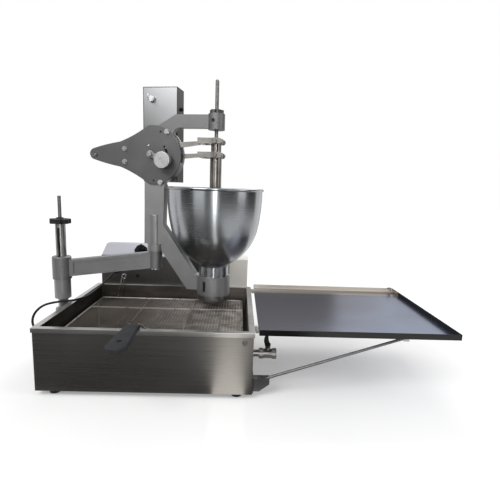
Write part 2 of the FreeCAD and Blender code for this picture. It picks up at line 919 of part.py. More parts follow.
def make_lever_pin():
    r = lever_pin_r
    face = -fan_front - cover_t
    pin = rod(r, (eye_u, face - 1, fan_z), (eye_u, fan_back + 1, fan_z))
    head = rod(r * 1.35, (eye_u, face - 4, fan_z), (eye_u, face, fan_z))
    dimple = rod(r * 0.6, (eye_u, face - 5, fan_z), (eye_u, face + 6, fan_z))
    return on_depositor(cut(fuse([pin, head]), [dimple]))


def make_gate():
    ring = ring_tube(ring_low, ring_top, neck_fit)
    start = reach + gate_u + gate_gap
    half = ring.common(box(start, reach + 99, -99, 99, 0, ring_top + 9))
    tongue = ring.common(box(reach + tongue_end, start + 1, -99, -9,
                             window_low + gate_gap, window_top - gate_gap))
    third = (ring_top - ring_low) / 3
    low = ring_low + third + gate_gap
    high = ring_low + 2 * third - gate_gap
    lug = box(start, reach + gate_hinge_u + 4, gate_hinge_v - 12, gate_hinge_v, low, high)
    lug = cut(lug, [Part.makeCylinder(neck_r + neck_fit, 99, V(reach, 0, 0))])
    body = fuse([half, tongue, lug, knuckle(low, high)])
    bore = Part.makeCylinder(gate_pin_r + running, 99, V(reach + gate_hinge_u, gate_hinge_v, 0))
    return on_depositor(cut(body, [bore]))


def make_gate_pin():
    pin = Part.makeCylinder(gate_pin_r, ring_top - ring_low, V(reach + gate_hinge_u, gate_hinge_v, ring_low))
    head = Part.makeCylinder(gate_pin_r + 2, 3, V(reach + gate_hinge_u, gate_hinge_v, ring_top))
    return on_depositor(fuse([pin, head]))


def bow(a, b, rise):
    # A point beside the middle of the chord from a to b, on its right-hand side.
    du = b[0] - a[0]
    dz = b[1] - a[1]
    span = math.hypot(du, dz)
    return ((a[0] + b[0]) / 2 + rise * dz / span, (a[1] + b[1]) / 2 - rise * du / span)


def make_hopper():
    t = hopper_sheet
    lip = hopper_rim_r - bead_r
    top = hopper_rim_z - 2 * bead_r
    throat = ring_top + throat_h
    neck = (neck_r, throat)
    neck_in = (neck_r - t, throat)
    foot = (neck_r + throat_flare, throat + throat_flare)
    foot_in = (foot[0] - t * 0.4, foot[1] + t * 0.9)
    belly = (belly_r, belly_z)
    belly_in = (belly_r - t * 0.95, belly_z + t * 0.3)
    brim = (lip, top)
    brim_in = (lip - t, top)
    turn = -throat_flare * 0.2
    bowl = turned((neck_r, neck_low),
                  [neck, (bow(neck, foot, turn), foot), (bow(foot, belly, belly_bow), belly),
                   (bow(belly, brim, side_bow), brim), ((hopper_rim_r, top + bead_r), (lip, hopper_rim_z)),
                   (lip - t, hopper_rim_z), brim_in, (bow(belly_in, brim_in, side_bow), belly_in),
                   (bow(foot_in, belly_in, belly_bow), foot_in), (bow(neck_in, foot_in, turn), neck_in),
                   (neck_r - t, neck_low), (neck_r, neck_low)], reach)
    return on_depositor(bowl)


def make_nozzle():
    return on_depositor(turned((nozzle_lip_r, nozzle_low),
                               [(nozzle_lip_r, neck_low), (neck_r, neck_low), (neck_r, ring_low - running),
                                (nozzle_r, ring_low - running), (nozzle_r, nozzle_low + 4),
                                (nozzle_r - 3, nozzle_low), (nozzle_lip_r, nozzle_low)], reach))


def cam_disc(lift, v0):
    # The rim climbs at a steady rate over half a turn, dwells, and falls back.
    def at(deg, r):
        a = math.radians(deg)
        return (cam_u - r * math.sin(a), cam_z + r * math.cos(a))

    def climb(deg):
        return at(deg, cam_base_r + lift * deg / 180)

    high = cam_base_r + lift
    steps = [(climb(30), climb(60)), (climb(90), climb(120)), (climb(150), climb(180)),
             (at(195, high), at(210, high)), (at(240, high - lift * 0.3), at(275, high - lift * 0.6)),
             (at(310, high - lift * 0.92), at(340, cam_base_r)), (at(350, cam_base_r), climb(0))]
    return slab(climb(0), steps, v0, v0 + cam_t)


def upper_lever_v():
    return -fan_front + 2


def lower_lever_v():
    return fan_back - fan_floor - 2 - lever_bar_t


def make_cam_shaft():
    v0 = -fan_front - cover_t - 1 - crank_t
    shaft = rod(shaft_r, (cam_u, v0, cam_z), (cam_u, fan_back + shaft_in, cam_z))
    cams = [cam_disc(upper_lift, upper_lever_v()), cam_disc(lower_lift, lower_lever_v())]
    return on_depositor(fuse([shaft] + cams))


def crank_end():
    return cam_u + crank_reach, cam_z - crank_drop


def make_crank_arm():
    v1 = -fan_front - cover_t - 1
    v0 = v1 - crank_t
    u, z = crank_end()
    span = math.hypot(crank_reach, crank_drop)
    bar = Part.makeBox(span, crank_t, crank_w * 0.7, V(0, v0, -crank_w * 0.35))
    bar.rotate(V(0, 0, 0), V(0, 1, 0), math.degrees(math.atan2(crank_drop, crank_reach)))
    bar.translate(V(cam_u, 0, cam_z))
    hubs = [rod(crank_w / 2, (a, v0, b), (a, v1, b)) for a, b in ((cam_u, cam_z), (u, z))]
    body = cut(fuse([bar] + hubs), [rod(shaft_r, (cam_u, v0 - 1, cam_z), (cam_u, v1 + 1, cam_z))])
    bolt = hex_head(crank_bolt_r, cam_u, cam_z, v0 - crank_bolt_h, v0)
    return on_depositor(fuse([body, bolt]))


def make_crank_knob():
    v1 = -fan_front - cover_t - 1 - crank_t
    u, z = crank_end()
    body = rod(knob_r, (u, v1 - knob_len, z), (u, v1 - 4, z))
    body = body.makeFillet(2, body.Edges[:])
    neck = rod(knob_r * 0.4, (u, v1 - 6, z), (u, v1, z))
    recess = rod(knob_r * 0.3, (u, v1 - knob_len - 1, z), (u, v1 - knob_len + 2, z))
    return on_depositor(cut(fuse([body, neck]), [recess]))


def yoke(pin_z):
    # The forked end of a lever: two cheeks beside the tube with slots for the trunnions.
    z0 = pin_z - yoke_half
    z1 = pin_z + yoke_half
    root = reach - yoke_root
    block = box(root, root + 16, -yoke_out, yoke_out, z0, z1)
    cheeks = [block]
    for v0, v1 in ((-yoke_out, -yoke_in), (yoke_in, yoke_out)):
        cheeks.append(box(root, reach + yoke_tip - yoke_half, v0, v1, z0, z1))
        tip = reach + yoke_tip - yoke_half
        cheeks.append(rod(yoke_half, (tip, v0, pin_z), (tip, v1, pin_z)))
    r = trunnion_r + 0.5
    slots = [box(reach - 4, reach + 4, -99, 99, pin_z - r, pin_z + r)]
    for u in (reach - 4, reach + 4):
        slots.append(rod(r, (u, -99, pin_z), (u, 99, pin_z)))
    return cut(fuse(cheeks), slots)


def lever(profile_low, profile_top, pin_z, v0):
    points = profile_low + profile_top[::-1]
    bar = slab(points[0], points[1:] + points[:1], v0, v0 + lever_bar_t)
    eye = rod(lever_eye_r, (eye_u, v0, fan_z), (eye_u, v0 + lever_bar_t, fan_z))
    body = fuse([bar, eye, yoke(pin_z)])
    bore = rod(lever_pin_r + running, (eye_u, -99, fan_z), (eye_u, 99, fan_z))
    return on_depositor(cut(body, [bore]))


def make_upper_lever():
    slope = (upper_pin_z - fan_z) / (reach - eye_u)
    stations = [(eye_u, 8), (cam_u - 40, lever_half), (cam_u + 40, lever_half), (cam_u + 95, 9),
                (reach - yoke_root + 4, 6)]
    low = [(u, fan_z + slope * (u - eye_u) - h) for u, h in stations]
    top = [(u, fan_z + slope * (u - eye_u) + h) for u, h in stations]
    return lever(low, top, upper_pin_z, upper_lever_v())


def make_lower_lever():
    # The lower bar arches over its cam.
    rise = cam_z + cam_base_r + 1.2
    end = reach - yoke_root + 4
    low = [(eye_u, fan_z - 8), (cam_u - 62, lower_pin_z - 12), (cam_u - 42, rise), (cam_u + 40, rise),
           (cam_u + 62, lower_pin_z - 17), (end, lower_pin_z - 6)]
    top = [(eye_u, fan_z + 8), (cam_u - 72, lower_pin_z + 8), (cam_u - 50, rise + 2 * lever_half),
           (cam_u + 48, rise + 2 * lever_half), (cam_u + 76, lower_pin_z + 1), (end, lower_pin_z + 6)]
    return lever(low, top, lower_pin_z, lower_lever_v())


def trunnions(pin_z, r0):
    pins = []
    for side in (-1, 1):
        pins.append(rod(trunnion_r, (reach, side * r0, pin_z), (reach, side * (yoke_out + 1), pin_z)))
        pins.append(rod(trunnion_head_r, (reach, side * (yoke_out + 0.6), pin_z),
                        (reach, side * (yoke_out + 5), pin_z)))
    return pins


def make_plunger():
    top = upper_pin_z + yoke_half - 1
    low = upper_pin_z - yoke_half + 1
    bore = former_rod_r + running
    tube = turned((inner_r, piston_low + piston_h),
                  [(inner_r, low), (collar_ring_r, low), (collar_ring_r, top), (bore, top), (bore, low),
                   (inner_r - tube_wall, low - 4), (inner_r - tube_wall, piston_low + piston_h + 4),
                   (bore, piston_low + piston_h), (bore, piston_low), (piston_r, piston_low),
                   (piston_r, piston_low + piston_h), (inner_r, piston_low + piston_h)], reach)
    return on_depositor(fuse([tube] + trunnions(upper_pin_z, inner_r)))


def make_cutter():
    top = lower_pin_z + yoke_half - 1
    low = lower_pin_z - yoke_half + 1
    bore = inner_r + running
    tube = turned((skirt_r, skirt_low),
                  [(skirt_r, skirt_top), (outer_r, flare_top), (outer_r, low), (collar_ring_r, low),
                   (collar_ring_r, top), (bore, top), (bore, flare_top - 1),
                   (skirt_r - tube_wall, skirt_top - 2), (skirt_r - tube_wall, skirt_low),
                   (skirt_r, skirt_low)], reach)
    return on_depositor(fuse([tube] + trunnions(lower_pin_z, outer_r)))


def make_former():
    disc = turned((0, former_z),
                  [(former_r - 4, former_z), (former_r, former_z + 3), (former_r, former_z + 6),
                   (former_rod_r, former_z + 14), (former_rod_r, former_rod_top - 3),
                   (former_rod_r - 2, former_rod_top), (0, former_rod_top), (0, former_z)], reach)
    return on_depositor(disc)


def make_adjust_knob():
    knob = star(adjust_r, adjust_h * 0.77, 6, boss_top + running, former_rod_r + running)
    knob.translate(V(reach, 0, 0))
    return on_depositor(knob)


def make_drive_front():
    plate = box(box_l, box_r, fan_back, fan_back + sheet, box_low, box_top)
    tools = [rod(shaft_r + running, (cam_u, 0, cam_z), (cam_u, 99, cam_z))]
    tools.append(rod(speed_shaft_r + running, (speed_u, 0, speed_z), (speed_u, 99, speed_z)))
    return on_depositor(cut(plate, tools))


def make_drive_box():
    v0 = fan_back + sheet
    v1 = v0 + box_d
    outer = box(box_l, box_r, v0, v1, box_low, box_top)
    inner = box(box_l + sheet, box_r - sheet, v0 - 1, v1 - sheet, box_low + sheet, box_top - sheet)
    holes = [rod(button_r + running, (box_r - 9, button_v, z), (box_r + 9, button_v, z)) for z in button_zs]
    return on_depositor(cut(outer, [inner] + holes))


def make_gear_motor():
    v0 = fan_back + sheet
    w = gearbox_w / 2
    top = cam_z + gearbox_h / 2
    gearbox = box(cam_u - w, cam_u + w, v0, v0 + gearbox_d, top - gearbox_h, top)
    motor = Part.makeCylinder(motor_r, motor_len, V(cam_u, v0 + gearbox_d / 2, top))
    bore = rod(shaft_r + running, (cam_u, v0 - 1, cam_z), (cam_u, v0 + shaft_in + shaft_room, cam_z))
    return on_depositor(cut(fuse([gearbox, motor]), [bore]))


def make_button(z):
    stop_u = box_r - sheet - running
    start_u = stop_u - button_stop_t
    stem = rod(button_r, (start_u, button_v, z), (box_r + button_out, button_v, z))
    stop = rod(button_r + button_flange, (start_u, button_v, z), (stop_u, button_v, z))
    return on_depositor(fuse([stem, stop]))


def make_speed_dial():
    v1 = fan_back - running
    v0 = v1 - speed_h
    body = rod(speed_r, (speed_u, v0, speed_z), (speed_u, v1, speed_z))
    face = [e for e in body.Edges if abs(e.CenterOfMass.y - v0) < 0.01]
    body = body.makeChamfer(speed_edge, face)
    end = fan_back + sheet + speed_shaft_in
    shaft = rod(speed_shaft_r, (speed_u, v1 - 1, speed_z), (speed_u, end, speed_z))
    return on_depositor(fuse([body, shaft]))


def corner_bend(x, y, turn):
    # A quarter turn of the frame wire round the point x, y.
    section = Part.Face(Part.Wire(Part.makeCircle(wire_r, V(x + frame_bend_r, y, screen_z), V(0, 1, 0))))
    bend = section.revolve(V(x, y, screen_z), UP, 90)
    bend.rotate(V(x, y, screen_z), UP, turn)
    return bend


def make_screen_frame():
    x = screen_half
    y0 = screen_front
    y1 = screen_back
    r = frame_bend_r
    z = screen_z
    pieces = [rod(wire_r, (-x + r, y, z), (x - r, y, z)) for y in (y0, y1)]
    pieces += [rod(wire_r, (side, y0 + r, z), (side, y1 - r, z)) for side in (-x, x)]
    corners = [(x - r, y1 - r), (-x + r, y1 - r), (-x + r, y0 + r), (x - r, y0 + r)]
    for n, (bend_x, bend_y) in enumerate(corners):
        pieces.append(corner_bend(bend_x, bend_y, 90 * n))
    for bar_x in (-cross_x, cross_x):
        pieces.append(rod(cross_r, (bar_x, y0, z), (bar_x, y1, z)))
    tie_y = y1 - (y1 - y0) * tie_share
    pieces.append(rod(cross_r, (-x, tie_y, z), (x, tie_y, z)))
    floor = pan_floor + pan_sheet + running
    for leg_x in (-x, x):
        for leg_y in (y0 + screen_leg_in, y1 - screen_leg_in):
            pieces.append(rod(cross_r, (leg_x, leg_y, floor), (leg_x, leg_y, z)))
    return fuse(pieces)


def make_screen_hook():
    # Two upright wires on the back of the frame that meet in an eye.
    y = screen_back
    foot = screen_z + wire_r + running
    eye_x = hook_x + hook_eye_r
    eye_z = hook_top - hook_eye_r - hook_wire_r
    pieces = [Part.makeTorus(hook_eye_r, hook_wire_r, V(eye_x, y, eye_z), V(0, 1, 0))]
    for foot_x, turn in ((hook_x - hook_spread, 202), (hook_x, 263)):
        a = math.radians(turn)
        end = (eye_x + hook_eye_r * math.cos(a), y, eye_z + hook_eye_r * math.sin(a))
        pieces.append(rod(hook_leg_r, (foot_x, y, foot), end))
    return fuse(pieces)


def make_mesh():
    x = screen_half - mesh_in
    y0 = screen_front + mesh_in
    y1 = screen_back - mesh_in
    z0 = screen_z + wire_r + running / 3
    face = Part.Face(pan_section(x, y0, y1, z0))
    step_x = (2 * x - mesh_bar) / mesh_cols
    step_y = (y1 - y0 - mesh_bar) / mesh_rows
    holes = []
    for i in range(mesh_cols):
        for j in range(mesh_rows):
            hx = -x + mesh_bar + i * step_x
            hy = y0 + mesh_bar + j * step_y
            a = V(hx, hy, z0)
            b = V(hx + step_x - mesh_bar, hy, z0)
            c = V(hx + step_x - mesh_bar, hy + step_y - mesh_bar, z0)
            d = V(hx, hy + step_y - mesh_bar, z0)
            holes.append(Part.makePolygon([a, d, c, b, a]))
    net = Part.Face([face.OuterWire] + holes)
    return net.extrude(V(0, 0, mesh_t))


def mesh_top():
    return screen_z + wire_r + running / 3 + mesh_t


def make_grip_wires():
    r = grip_wire_r
    y0 = grip_back
    bend_y = y0 + grip_wire_flat
    y1 = y0 + grip_wire_run
    z0 = running + grip_t / 2
    z1 = mesh_top() + r + running / 3
    wires = []
    for x in (grip_x - grip_wire_gap / 2, grip_x + grip_wire_gap / 2):
        wires.append(rod(r, (x, y0, z0), (x, bend_y, z0)))
        wires.append(rod(r, (x, bend_y, z0), (x, y1, z1)))
        wires.append(Part.makeSphere(r, V(x, bend_y, z0)))
        wires.append(Part.makeSphere(r, V(x, y1, z1)))
    wires.append(rod(r, (grip_x - grip_wire_gap, y1, z1), (grip_x + grip_wire_gap, y1, z1)))
    return fuse(wires)


def make_grip():
    w = grip_w / 2
    e = grip_end_w / 2
    y1 = grip_back
    y0 = grip_front + e
    outline = wire_of((grip_x - w, y1),
                      [(grip_x - w, y1 - grip_shoulder), (grip_x - e, y0),
                       ((grip_x, grip_front), (grip_x + e, y0)), (grip_x + w, y1 - grip_shoulder),
                       (grip_x + w, y1), (grip_x - w, y1)],
                      lambda p: V(p[0], p[1], running))
    body = Part.Face(outline).extrude(V(0, 0, grip_t))
    body = body.makeChamfer(grip_edge, edges_at(body, running + grip_t))
    hole = Part.makeCylinder(grip_hole_r, 3 * grip_t, V(grip_x, y0 + grip_hole_in, -grip_t))
    return cut(body, [hole])


def make_lid():
    y1 = tank_d
    outer = box(lid_left, lid_right, 0, y1, lid_z, lid_z + lid_skirt)
    inner = box(lid_left - 1, lid_right - lid_t, lid_t, y1 - lid_t, lid_z + lid_t, lid_z + lid_skirt + 1)
    return cut(outer, [inner])


def hinge_starts():
    return [hinge_inset, tank_d - hinge_inset - hinge_w]


def make_lid_hinges():
    leaves = []
    third = hinge_w / 3
    x0 = axis_x + hinge_r + hinge_clear
    for y in hinge_starts():
        pieces = [box(x0, lid_left + hinge_leaf, y, y + hinge_w, lid_z - sheet, lid_z)]
        for low in (y, y + 2 * third + gate_gap):
            high = low + third - gate_gap
            pieces.append(box(axis_x, x0 + 1, low, high, lid_z - sheet, lid_z))
            pieces.append(rod(hinge_r, (axis_x, low, axis_z), (axis_x, high, axis_z)))
        bore = rod(hinge_r / 2, (axis_x, y - 1, axis_z), (axis_x, y + hinge_w + 1, axis_z))
        leaves.append(cut(fuse(pieces), [bore]))
    return group(leaves)


def make_tank_hinges():
    leaves = []
    third = hinge_w / 3
    for y in hinge_starts():
        low = y + third + gate_gap / 2
        high = y + 2 * third - gate_gap / 2
        pieces = [box(half_w, half_w + sheet * 0.6, y, y + hinge_w, -rim_lip, lid_z + hinge_r)]
        pieces.append(box(half_w, axis_x, low, high, axis_z - 2, axis_z + 2))
        pieces.append(rod(hinge_r, (axis_x, low, axis_z), (axis_x, high, axis_z)))
        bore = rod(hinge_r / 2 + running, (axis_x, y - 1, axis_z), (axis_x, y + hinge_w + 1, axis_z))
        leaves.append(cut(fuse(pieces), [bore]))
    return group(leaves)


def make_hinge_pins():
    pins = []
    for y in hinge_starts():
        pins.append(rod(hinge_r / 2, (axis_x, y, axis_z), (axis_x, y + hinge_w, axis_z)))
    return group(pins)


def strut_top():
    return half_w + strut_reach, lid_z - strut_pin_drop


def strut_foot():
    return half_w + strut_seat_x, strut_seat_z


def make_strut_eye():
    x, z = strut_top()
    h = eye_half
    p = eye_plate / 2
    cheeks = [box(x - p, x + p, strut_y - h, strut_y + h, lid_z - eye_plate_t, lid_z)]
    for y0, y1 in ((strut_y - h, strut_y - h + cheek_t), (strut_y + h - cheek_t, strut_y + h)):
        cheeks.append(box(x - cheek_half, x + cheek_half, y0, y1, z - cheek_low, lid_z))
    cheeks.append(rod(strut_pin_r, (x, strut_y - h - pin_proud, z), (x, strut_y + h + pin_proud, z)))
    return fuse(cheeks)


def make_strut():
    x0, z0 = strut_top()
    x1, z1 = strut_foot()
    w = strut_eye_w / 2
    eye = rod(strut_eye_r, (x0, strut_y - w, z0), (x0, strut_y + w, z0))
    bar = rod(strut_r, (x0, strut_y, z0), (x1, strut_y, z1))
    bore = rod(strut_pin_r + running, (x0, strut_y - eye_plate, z0), (x0, strut_y + eye_plate, z0))
    return cut(fuse([eye, bar]), [bore])


def make_strut_bracket():
    # A seat on the right wall with an open channel that takes the foot of the strut.
    x0, z0 = strut_top()
    x1, z1 = strut_foot()
    span = math.hypot(x0 - x1, z0 - z1)
    w = strut_r + seat_side
    low = z1 - seat_drop
    nose = x1 + seat_nose
    block = slab((wall_x, low),
                 [(wall_x + seat_foot, low), (nose, z1 - seat_nose_drop), (nose, z1 + seat_rise),
                  (wall_x, z1 + seat_rise), (wall_x, low)],
                 strut_y - w - seat_wall, strut_y + w + seat_wall)
    ear = box(wall_x, wall_x + seat_ear_t, strut_y - w - seat_ear, strut_y + w + seat_ear,
              low, z1 + seat_ear_rise)
    channel_w = w - seat_groove
    channel = Part.makeBox(span, 2 * channel_w, 60, V(-running, -channel_w, -strut_r - seat_groove))
    channel.rotate(V(0, 0, 0), V(0, 1, 0), -math.degrees(math.atan2(z0 - z1, x0 - x1)))
    channel.translate(V(x1, strut_y, z1))
    return cut(fuse([block, ear]), [channel])


def make_glands():
    y1 = ctrl_front
    front = rod(gland_r, (lead_x, y1 - gland_len, lead_z), (lead_x, y1, lead_z))
    nut = hex_head(gland_r + gland_flange, lead_x, lead_z, y1 - gland_nut_t, y1)
    x1 = -wall_x
    y = side_gland_y
    z = side_gland_z
    side = rod(gland_r, (x1 - gland_len, y, z), (x1, y, z))
    flange = rod(gland_r + gland_flange, (x1 - gland_flange_t, y, z), (x1, y, z))
    return group([fuse([front, nut]), fuse([side, flange])])


def lead_points():
    y0 = ctrl_front - gland_len
    x1 = -wall_x - gland_len
    return [(lead_x, y0, lead_z), (lead_x, 449, lead_z), (-235, 412, 34), (-249, 364, 17), (-256, 310, 10),
            (-262, 258, 9), (-280, 215, 12), (-315, 187, 16), (-352, 171, 9), (-376, 161, -18),
            (-378, 155, -50), (-352, side_gland_y, -79), (x1, side_gland_y, side_gland_z)]


def make_lead():
    points = [V(*p) for p in lead_points()]
    edges = []
    radii = []
    here = points[0]
    for n in range(1, len(points) - 1):
        back = (points[n - 1] - points[n])
        ahead = (points[n + 1] - points[n])
        turn = math.pi - back.getAngle(ahead)
        reach_in = 0.45 * min(back.Length, ahead.Length)
        back.normalize()
        ahead.normalize()
        a = points[n] + back * reach_in
        b = points[n] + ahead * reach_in
        radius = reach_in / math.tan(turn / 2)
        mid_dir = back + ahead
        mid_dir.normalize()
        mid = points[n] + mid_dir * (radius / math.cos(turn / 2) - radius)
        edges.append(Part.LineSegment(here, a).toShape())
        edges.append(Part.Arc(a, mid, b).toShape())
        radii.append(round(radius, 1))
        here = b
    edges.append(Part.LineSegment(here, points[-1]).toShape())
    path = Part.Wire(edges)
    ring = Part.Wire(Part.makeCircle(lead_r, points[0], points[1] - points[0]))
    tube = path.makePipeShell([ring], True, False)
    print("lead bend radii", radii)
    section = math.pi * lead_r ** 2
    print("lead volume over section times length", round(tube.Volume / (section * path.Length), 4))
    return tube


def build():
    parts["tank_shell"] = make_shell()
    parts["tank_rim"] = make_rim()
    parts["fry_pan"] = make_pan()
    parts["feet"] = make_feet()
    parts["drain_nipple"] = make_nipple()
    parts["valve_body"] = make_valve()
    parts["valve_ball"] = make_valve_ball()
    parts["valve_lever"] = make_valve_lever()
    parts["control_housing"] = make_control_housing()
    parts["control_back"] = make_control_back()
    parts["thermostat"] = make_thermostat()
    parts["thermostat_dial"] = make_thermostat_dial()
    parts["heating_elements"] = group([make_element(-1), make_element(1)])
    parts["terminal_block"] = make_terminal_block()
    parts["contactor"] = make_contactor()
    parts["post_bracket"] = make_bracket()
    parts["post_tube"] = make_post()
    parts["post_sleeve"] = make_sleeve()
    parts["lift_carrier"] = make_carrier()
    parts["lift_rod"] = make_lift_rod()
    parts["lift_knob"] = make_lift_knob()
    parts["swing_arm"] = make_arm()
    parts["depositor_frame"] = make_frame()
    parts["pivot_pin"] = make_pivot_pin()
    parts["cover_plate"] = make_cover()
    parts["cover_bolts"] = make_cover_bolts()
    parts["lever_pin"] = make_lever_pin()
    parts["ring_gate"] = make_gate()
    parts["gate_pin"] = make_gate_pin()
    parts["hopper"] = make_hopper()
    parts["nozzle"] = make_nozzle()
    parts["cam_shaft"] = make_cam_shaft()
    parts["crank_arm"] = make_crank_arm()
    parts["crank_knob"] = make_crank_knob()
    parts["upper_lever"] = make_upper_lever()
    parts["lower_lever"] = make_lower_lever()
    parts["plunger"] = make_plunger()
    parts["cutter"] = make_cutter()
    parts["former"] = make_former()
    parts["adjust_knob"] = make_adjust_knob()
    parts["drive_front"] = make_drive_front()
    parts["drive_box"] = make_drive_box()
    parts["gear_motor"] = make_gear_motor()
    parts["stop_button"] = make_button(button_zs[0])
    parts["start_button"] = make_button(button_zs[1])
    parts["speed_dial"] = make_speed_dial()
    parts["screen_frame"] = make_screen_frame()
    parts["screen_hook"] = make_screen_hook()
    parts["screen_mesh"] = make_mesh()
    parts["grip_wires"] = make_grip_wires()
    parts["screen_grip"] = make_grip()
    parts["lid_pan"] = make_lid()
    parts["lid_hinges"] = make_lid_hinges()
    parts["tank_hinges"] = make_tank_hinges()
    parts["hinge_pins"] = make_hinge_pins()
    parts["strut_eye"] = make_strut_eye()
    parts["lid_strut"] = make_strut()
    parts["strut_bracket"] = make_strut_bracket()
    parts["lead_glands"] = make_glands()
    parts["control_lead"] = make_lead()


build()
os.makedirs("parts", exist_ok=True)
for name, shape in parts.items():
    placed = shape.copy()
    placed.translate(V(-x_mid, -y_mid, rim_z))
    placed.exportStep("parts/" + name + ".step")
    if not placed.isValid() or placed.Volume <= 0:
        print("check", name, placed.isValid(), round(placed.Volume, 1))
print(len(parts), "pieces; middle at", round(x_mid, 2), round(y_mid, 2), "rim at", rim_z)
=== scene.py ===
import bpy
import json
import math
from mathutils import Matrix, Vector

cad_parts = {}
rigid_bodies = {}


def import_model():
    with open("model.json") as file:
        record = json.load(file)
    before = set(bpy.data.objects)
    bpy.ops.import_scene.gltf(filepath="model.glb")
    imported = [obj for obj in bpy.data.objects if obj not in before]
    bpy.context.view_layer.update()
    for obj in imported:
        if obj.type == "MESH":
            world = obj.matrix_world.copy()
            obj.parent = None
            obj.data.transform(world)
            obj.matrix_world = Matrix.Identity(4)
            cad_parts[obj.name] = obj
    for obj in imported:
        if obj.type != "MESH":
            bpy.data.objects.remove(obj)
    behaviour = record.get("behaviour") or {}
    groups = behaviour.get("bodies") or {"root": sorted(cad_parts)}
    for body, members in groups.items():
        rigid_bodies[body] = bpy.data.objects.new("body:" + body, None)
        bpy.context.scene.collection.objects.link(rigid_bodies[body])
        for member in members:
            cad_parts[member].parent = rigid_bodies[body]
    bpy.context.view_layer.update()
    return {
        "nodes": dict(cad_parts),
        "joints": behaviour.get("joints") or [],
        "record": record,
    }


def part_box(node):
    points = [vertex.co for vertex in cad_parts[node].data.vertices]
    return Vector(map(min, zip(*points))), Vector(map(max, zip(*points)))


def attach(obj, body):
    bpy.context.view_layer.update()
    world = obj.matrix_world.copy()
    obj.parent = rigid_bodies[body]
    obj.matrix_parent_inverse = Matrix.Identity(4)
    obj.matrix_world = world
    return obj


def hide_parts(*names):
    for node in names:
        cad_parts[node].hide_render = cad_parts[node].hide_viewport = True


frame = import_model()
nodes = frame["nodes"]
scene = bpy.context.scene
bodyOf = {n: b for b, members in frame["record"]["behaviour"]["bodies"].items() for n in members}
slotOf = {s["node"]: s["material_slot"] for s in frame["record"]["subparts"]}
joints = {j["name"]: j for j in frame["joints"]}
print("frame loaded:", len(nodes), "nodes")

# the tank's rim gives the machine's own zero: middle of the width, front edge, top face
rimLow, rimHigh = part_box("tank_rim")
tankZero = Vector(((rimLow.x + rimHigh.x) / 2, rimLow.y, rimHigh.z))


def onTank(x, y, z):
    return tankZero + Vector((x, y, z))


def tankBox(nodeName):
    return [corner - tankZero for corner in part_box(nodeName)]


def middleOf(nodeName):
    low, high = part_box(nodeName)
    return (low + high) / 2


# the depositor hangs at an angle: u runs from its pivot to the nozzle, v to the back
pivot = middleOf("pivot_pin")
alongU = middleOf("nozzle") - pivot
alongU.z = 0
alongU.normalize()
alongV = Vector((-alongU.y, alongU.x, 0))


def onDepositor(u, v, z):
    return Vector((pivot.x, pivot.y, tankZero.z + z)) + alongU * u + alongV * v


def depositorBox(nodeName):
    # a node's reach along u, v and z, which stand in x, y and z
    shape = nodes[nodeName]
    places = [shape.matrix_world @ corner.co - onDepositor(0, 0, 0) for corner in shape.data.vertices]
    reach = list(zip(*((p.dot(alongU), p.dot(alongV), p.z) for p in places)))
    return Vector([min(r) for r in reach]), Vector([max(r) for r in reach])


shellLow = tankBox("tank_shell")[0]
lidCorner = tankBox("lid_pan")[1]
headFront = tankBox("control_housing")[0].y
coverFront = depositorBox("cover_plate")[0].y
boxLow, boxHigh = depositorBox("drive_box")
hopperAxis = middleOf("hopper")
hopperAxis.z = 0

# camera
cameraView = {
    "place": (0.2492, -0.9908, 0.3876),
    "yaw": 1.65, "pitch": 9.13, "roll": 2.01,
    "lens": 27.77, "sensor": 36,
}


def makeCamera(view):
    yaw, pitch, roll = (math.radians(view[k]) for k in ("yaw", "pitch", "roll"))
    ahead = Vector((math.sin(yaw) * math.cos(pitch), math.cos(yaw) * math.cos(pitch), -math.sin(pitch)))
    right = Vector((math.cos(yaw), -math.sin(yaw), 0))
    up = right.cross(ahead)
    tiltRight = right * math.cos(roll) + up * math.sin(roll)
    tiltUp = up * math.cos(roll) - right * math.sin(roll)
    data = bpy.data.cameras.new("photoCamera")
    data.lens = view["lens"]
    data.sensor_width = view["sensor"]
    camera = bpy.data.objects.new("photoCamera", data)
    scene.collection.objects.link(camera)
    turn = Matrix((tiltRight, tiltUp, -ahead)).transposed().to_4x4()
    camera.matrix_world = Matrix.Translation(onTank(*view["place"])) @ turn
    scene.camera = camera


makeCamera(cameraView)

# lead from the control head over the left rim, its route in millimetres
lead = {
    "route": [(-226, 482, 52), (-226, 449, 52), (-235, 412, 34), (-249, 364, 17), (-256, 310, 10),
              (-262, 258, 9), (-280, 215, 12), (-315, 187, 16), (-352, 171, 9), (-376, 161, -18),
              (-378, 155, -50), (-352, 150, -79), (-315, 150, -80)],
    "diameter": 0.007,
    "length": 0.505,
}


def makeLead(spec):
    points = [onTank(*(c / 1000 for c in p)) for p in spec["route"]]
    curve = bpy.data.curves.new("controlLeadCable", "CURVE")
    curve.dimensions = "3D"
    line = curve.splines.new("NURBS")
    line.points.add(len(points) - 1)
    for knot, place in zip(line.points, points):
        knot.co = (*place, 1)
        knot.radius = spec["diameter"] / 2  # the curve's box grows by this radius
    line.order_u = 3
    line.use_endpoint_u = True
    line.resolution_u = 12
    curve.bevel_depth = 1.0
    curve.bevel_resolution = 4
    curve.use_fill_caps = True
    cable = bpy.data.objects.new("controlLeadCable", curve)
    scene.collection.objects.link(cable)
    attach(cable, "fryer")
    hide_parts("control_lead")
    return cable


leadCable = makeLead(lead)
print("camera and lead made")


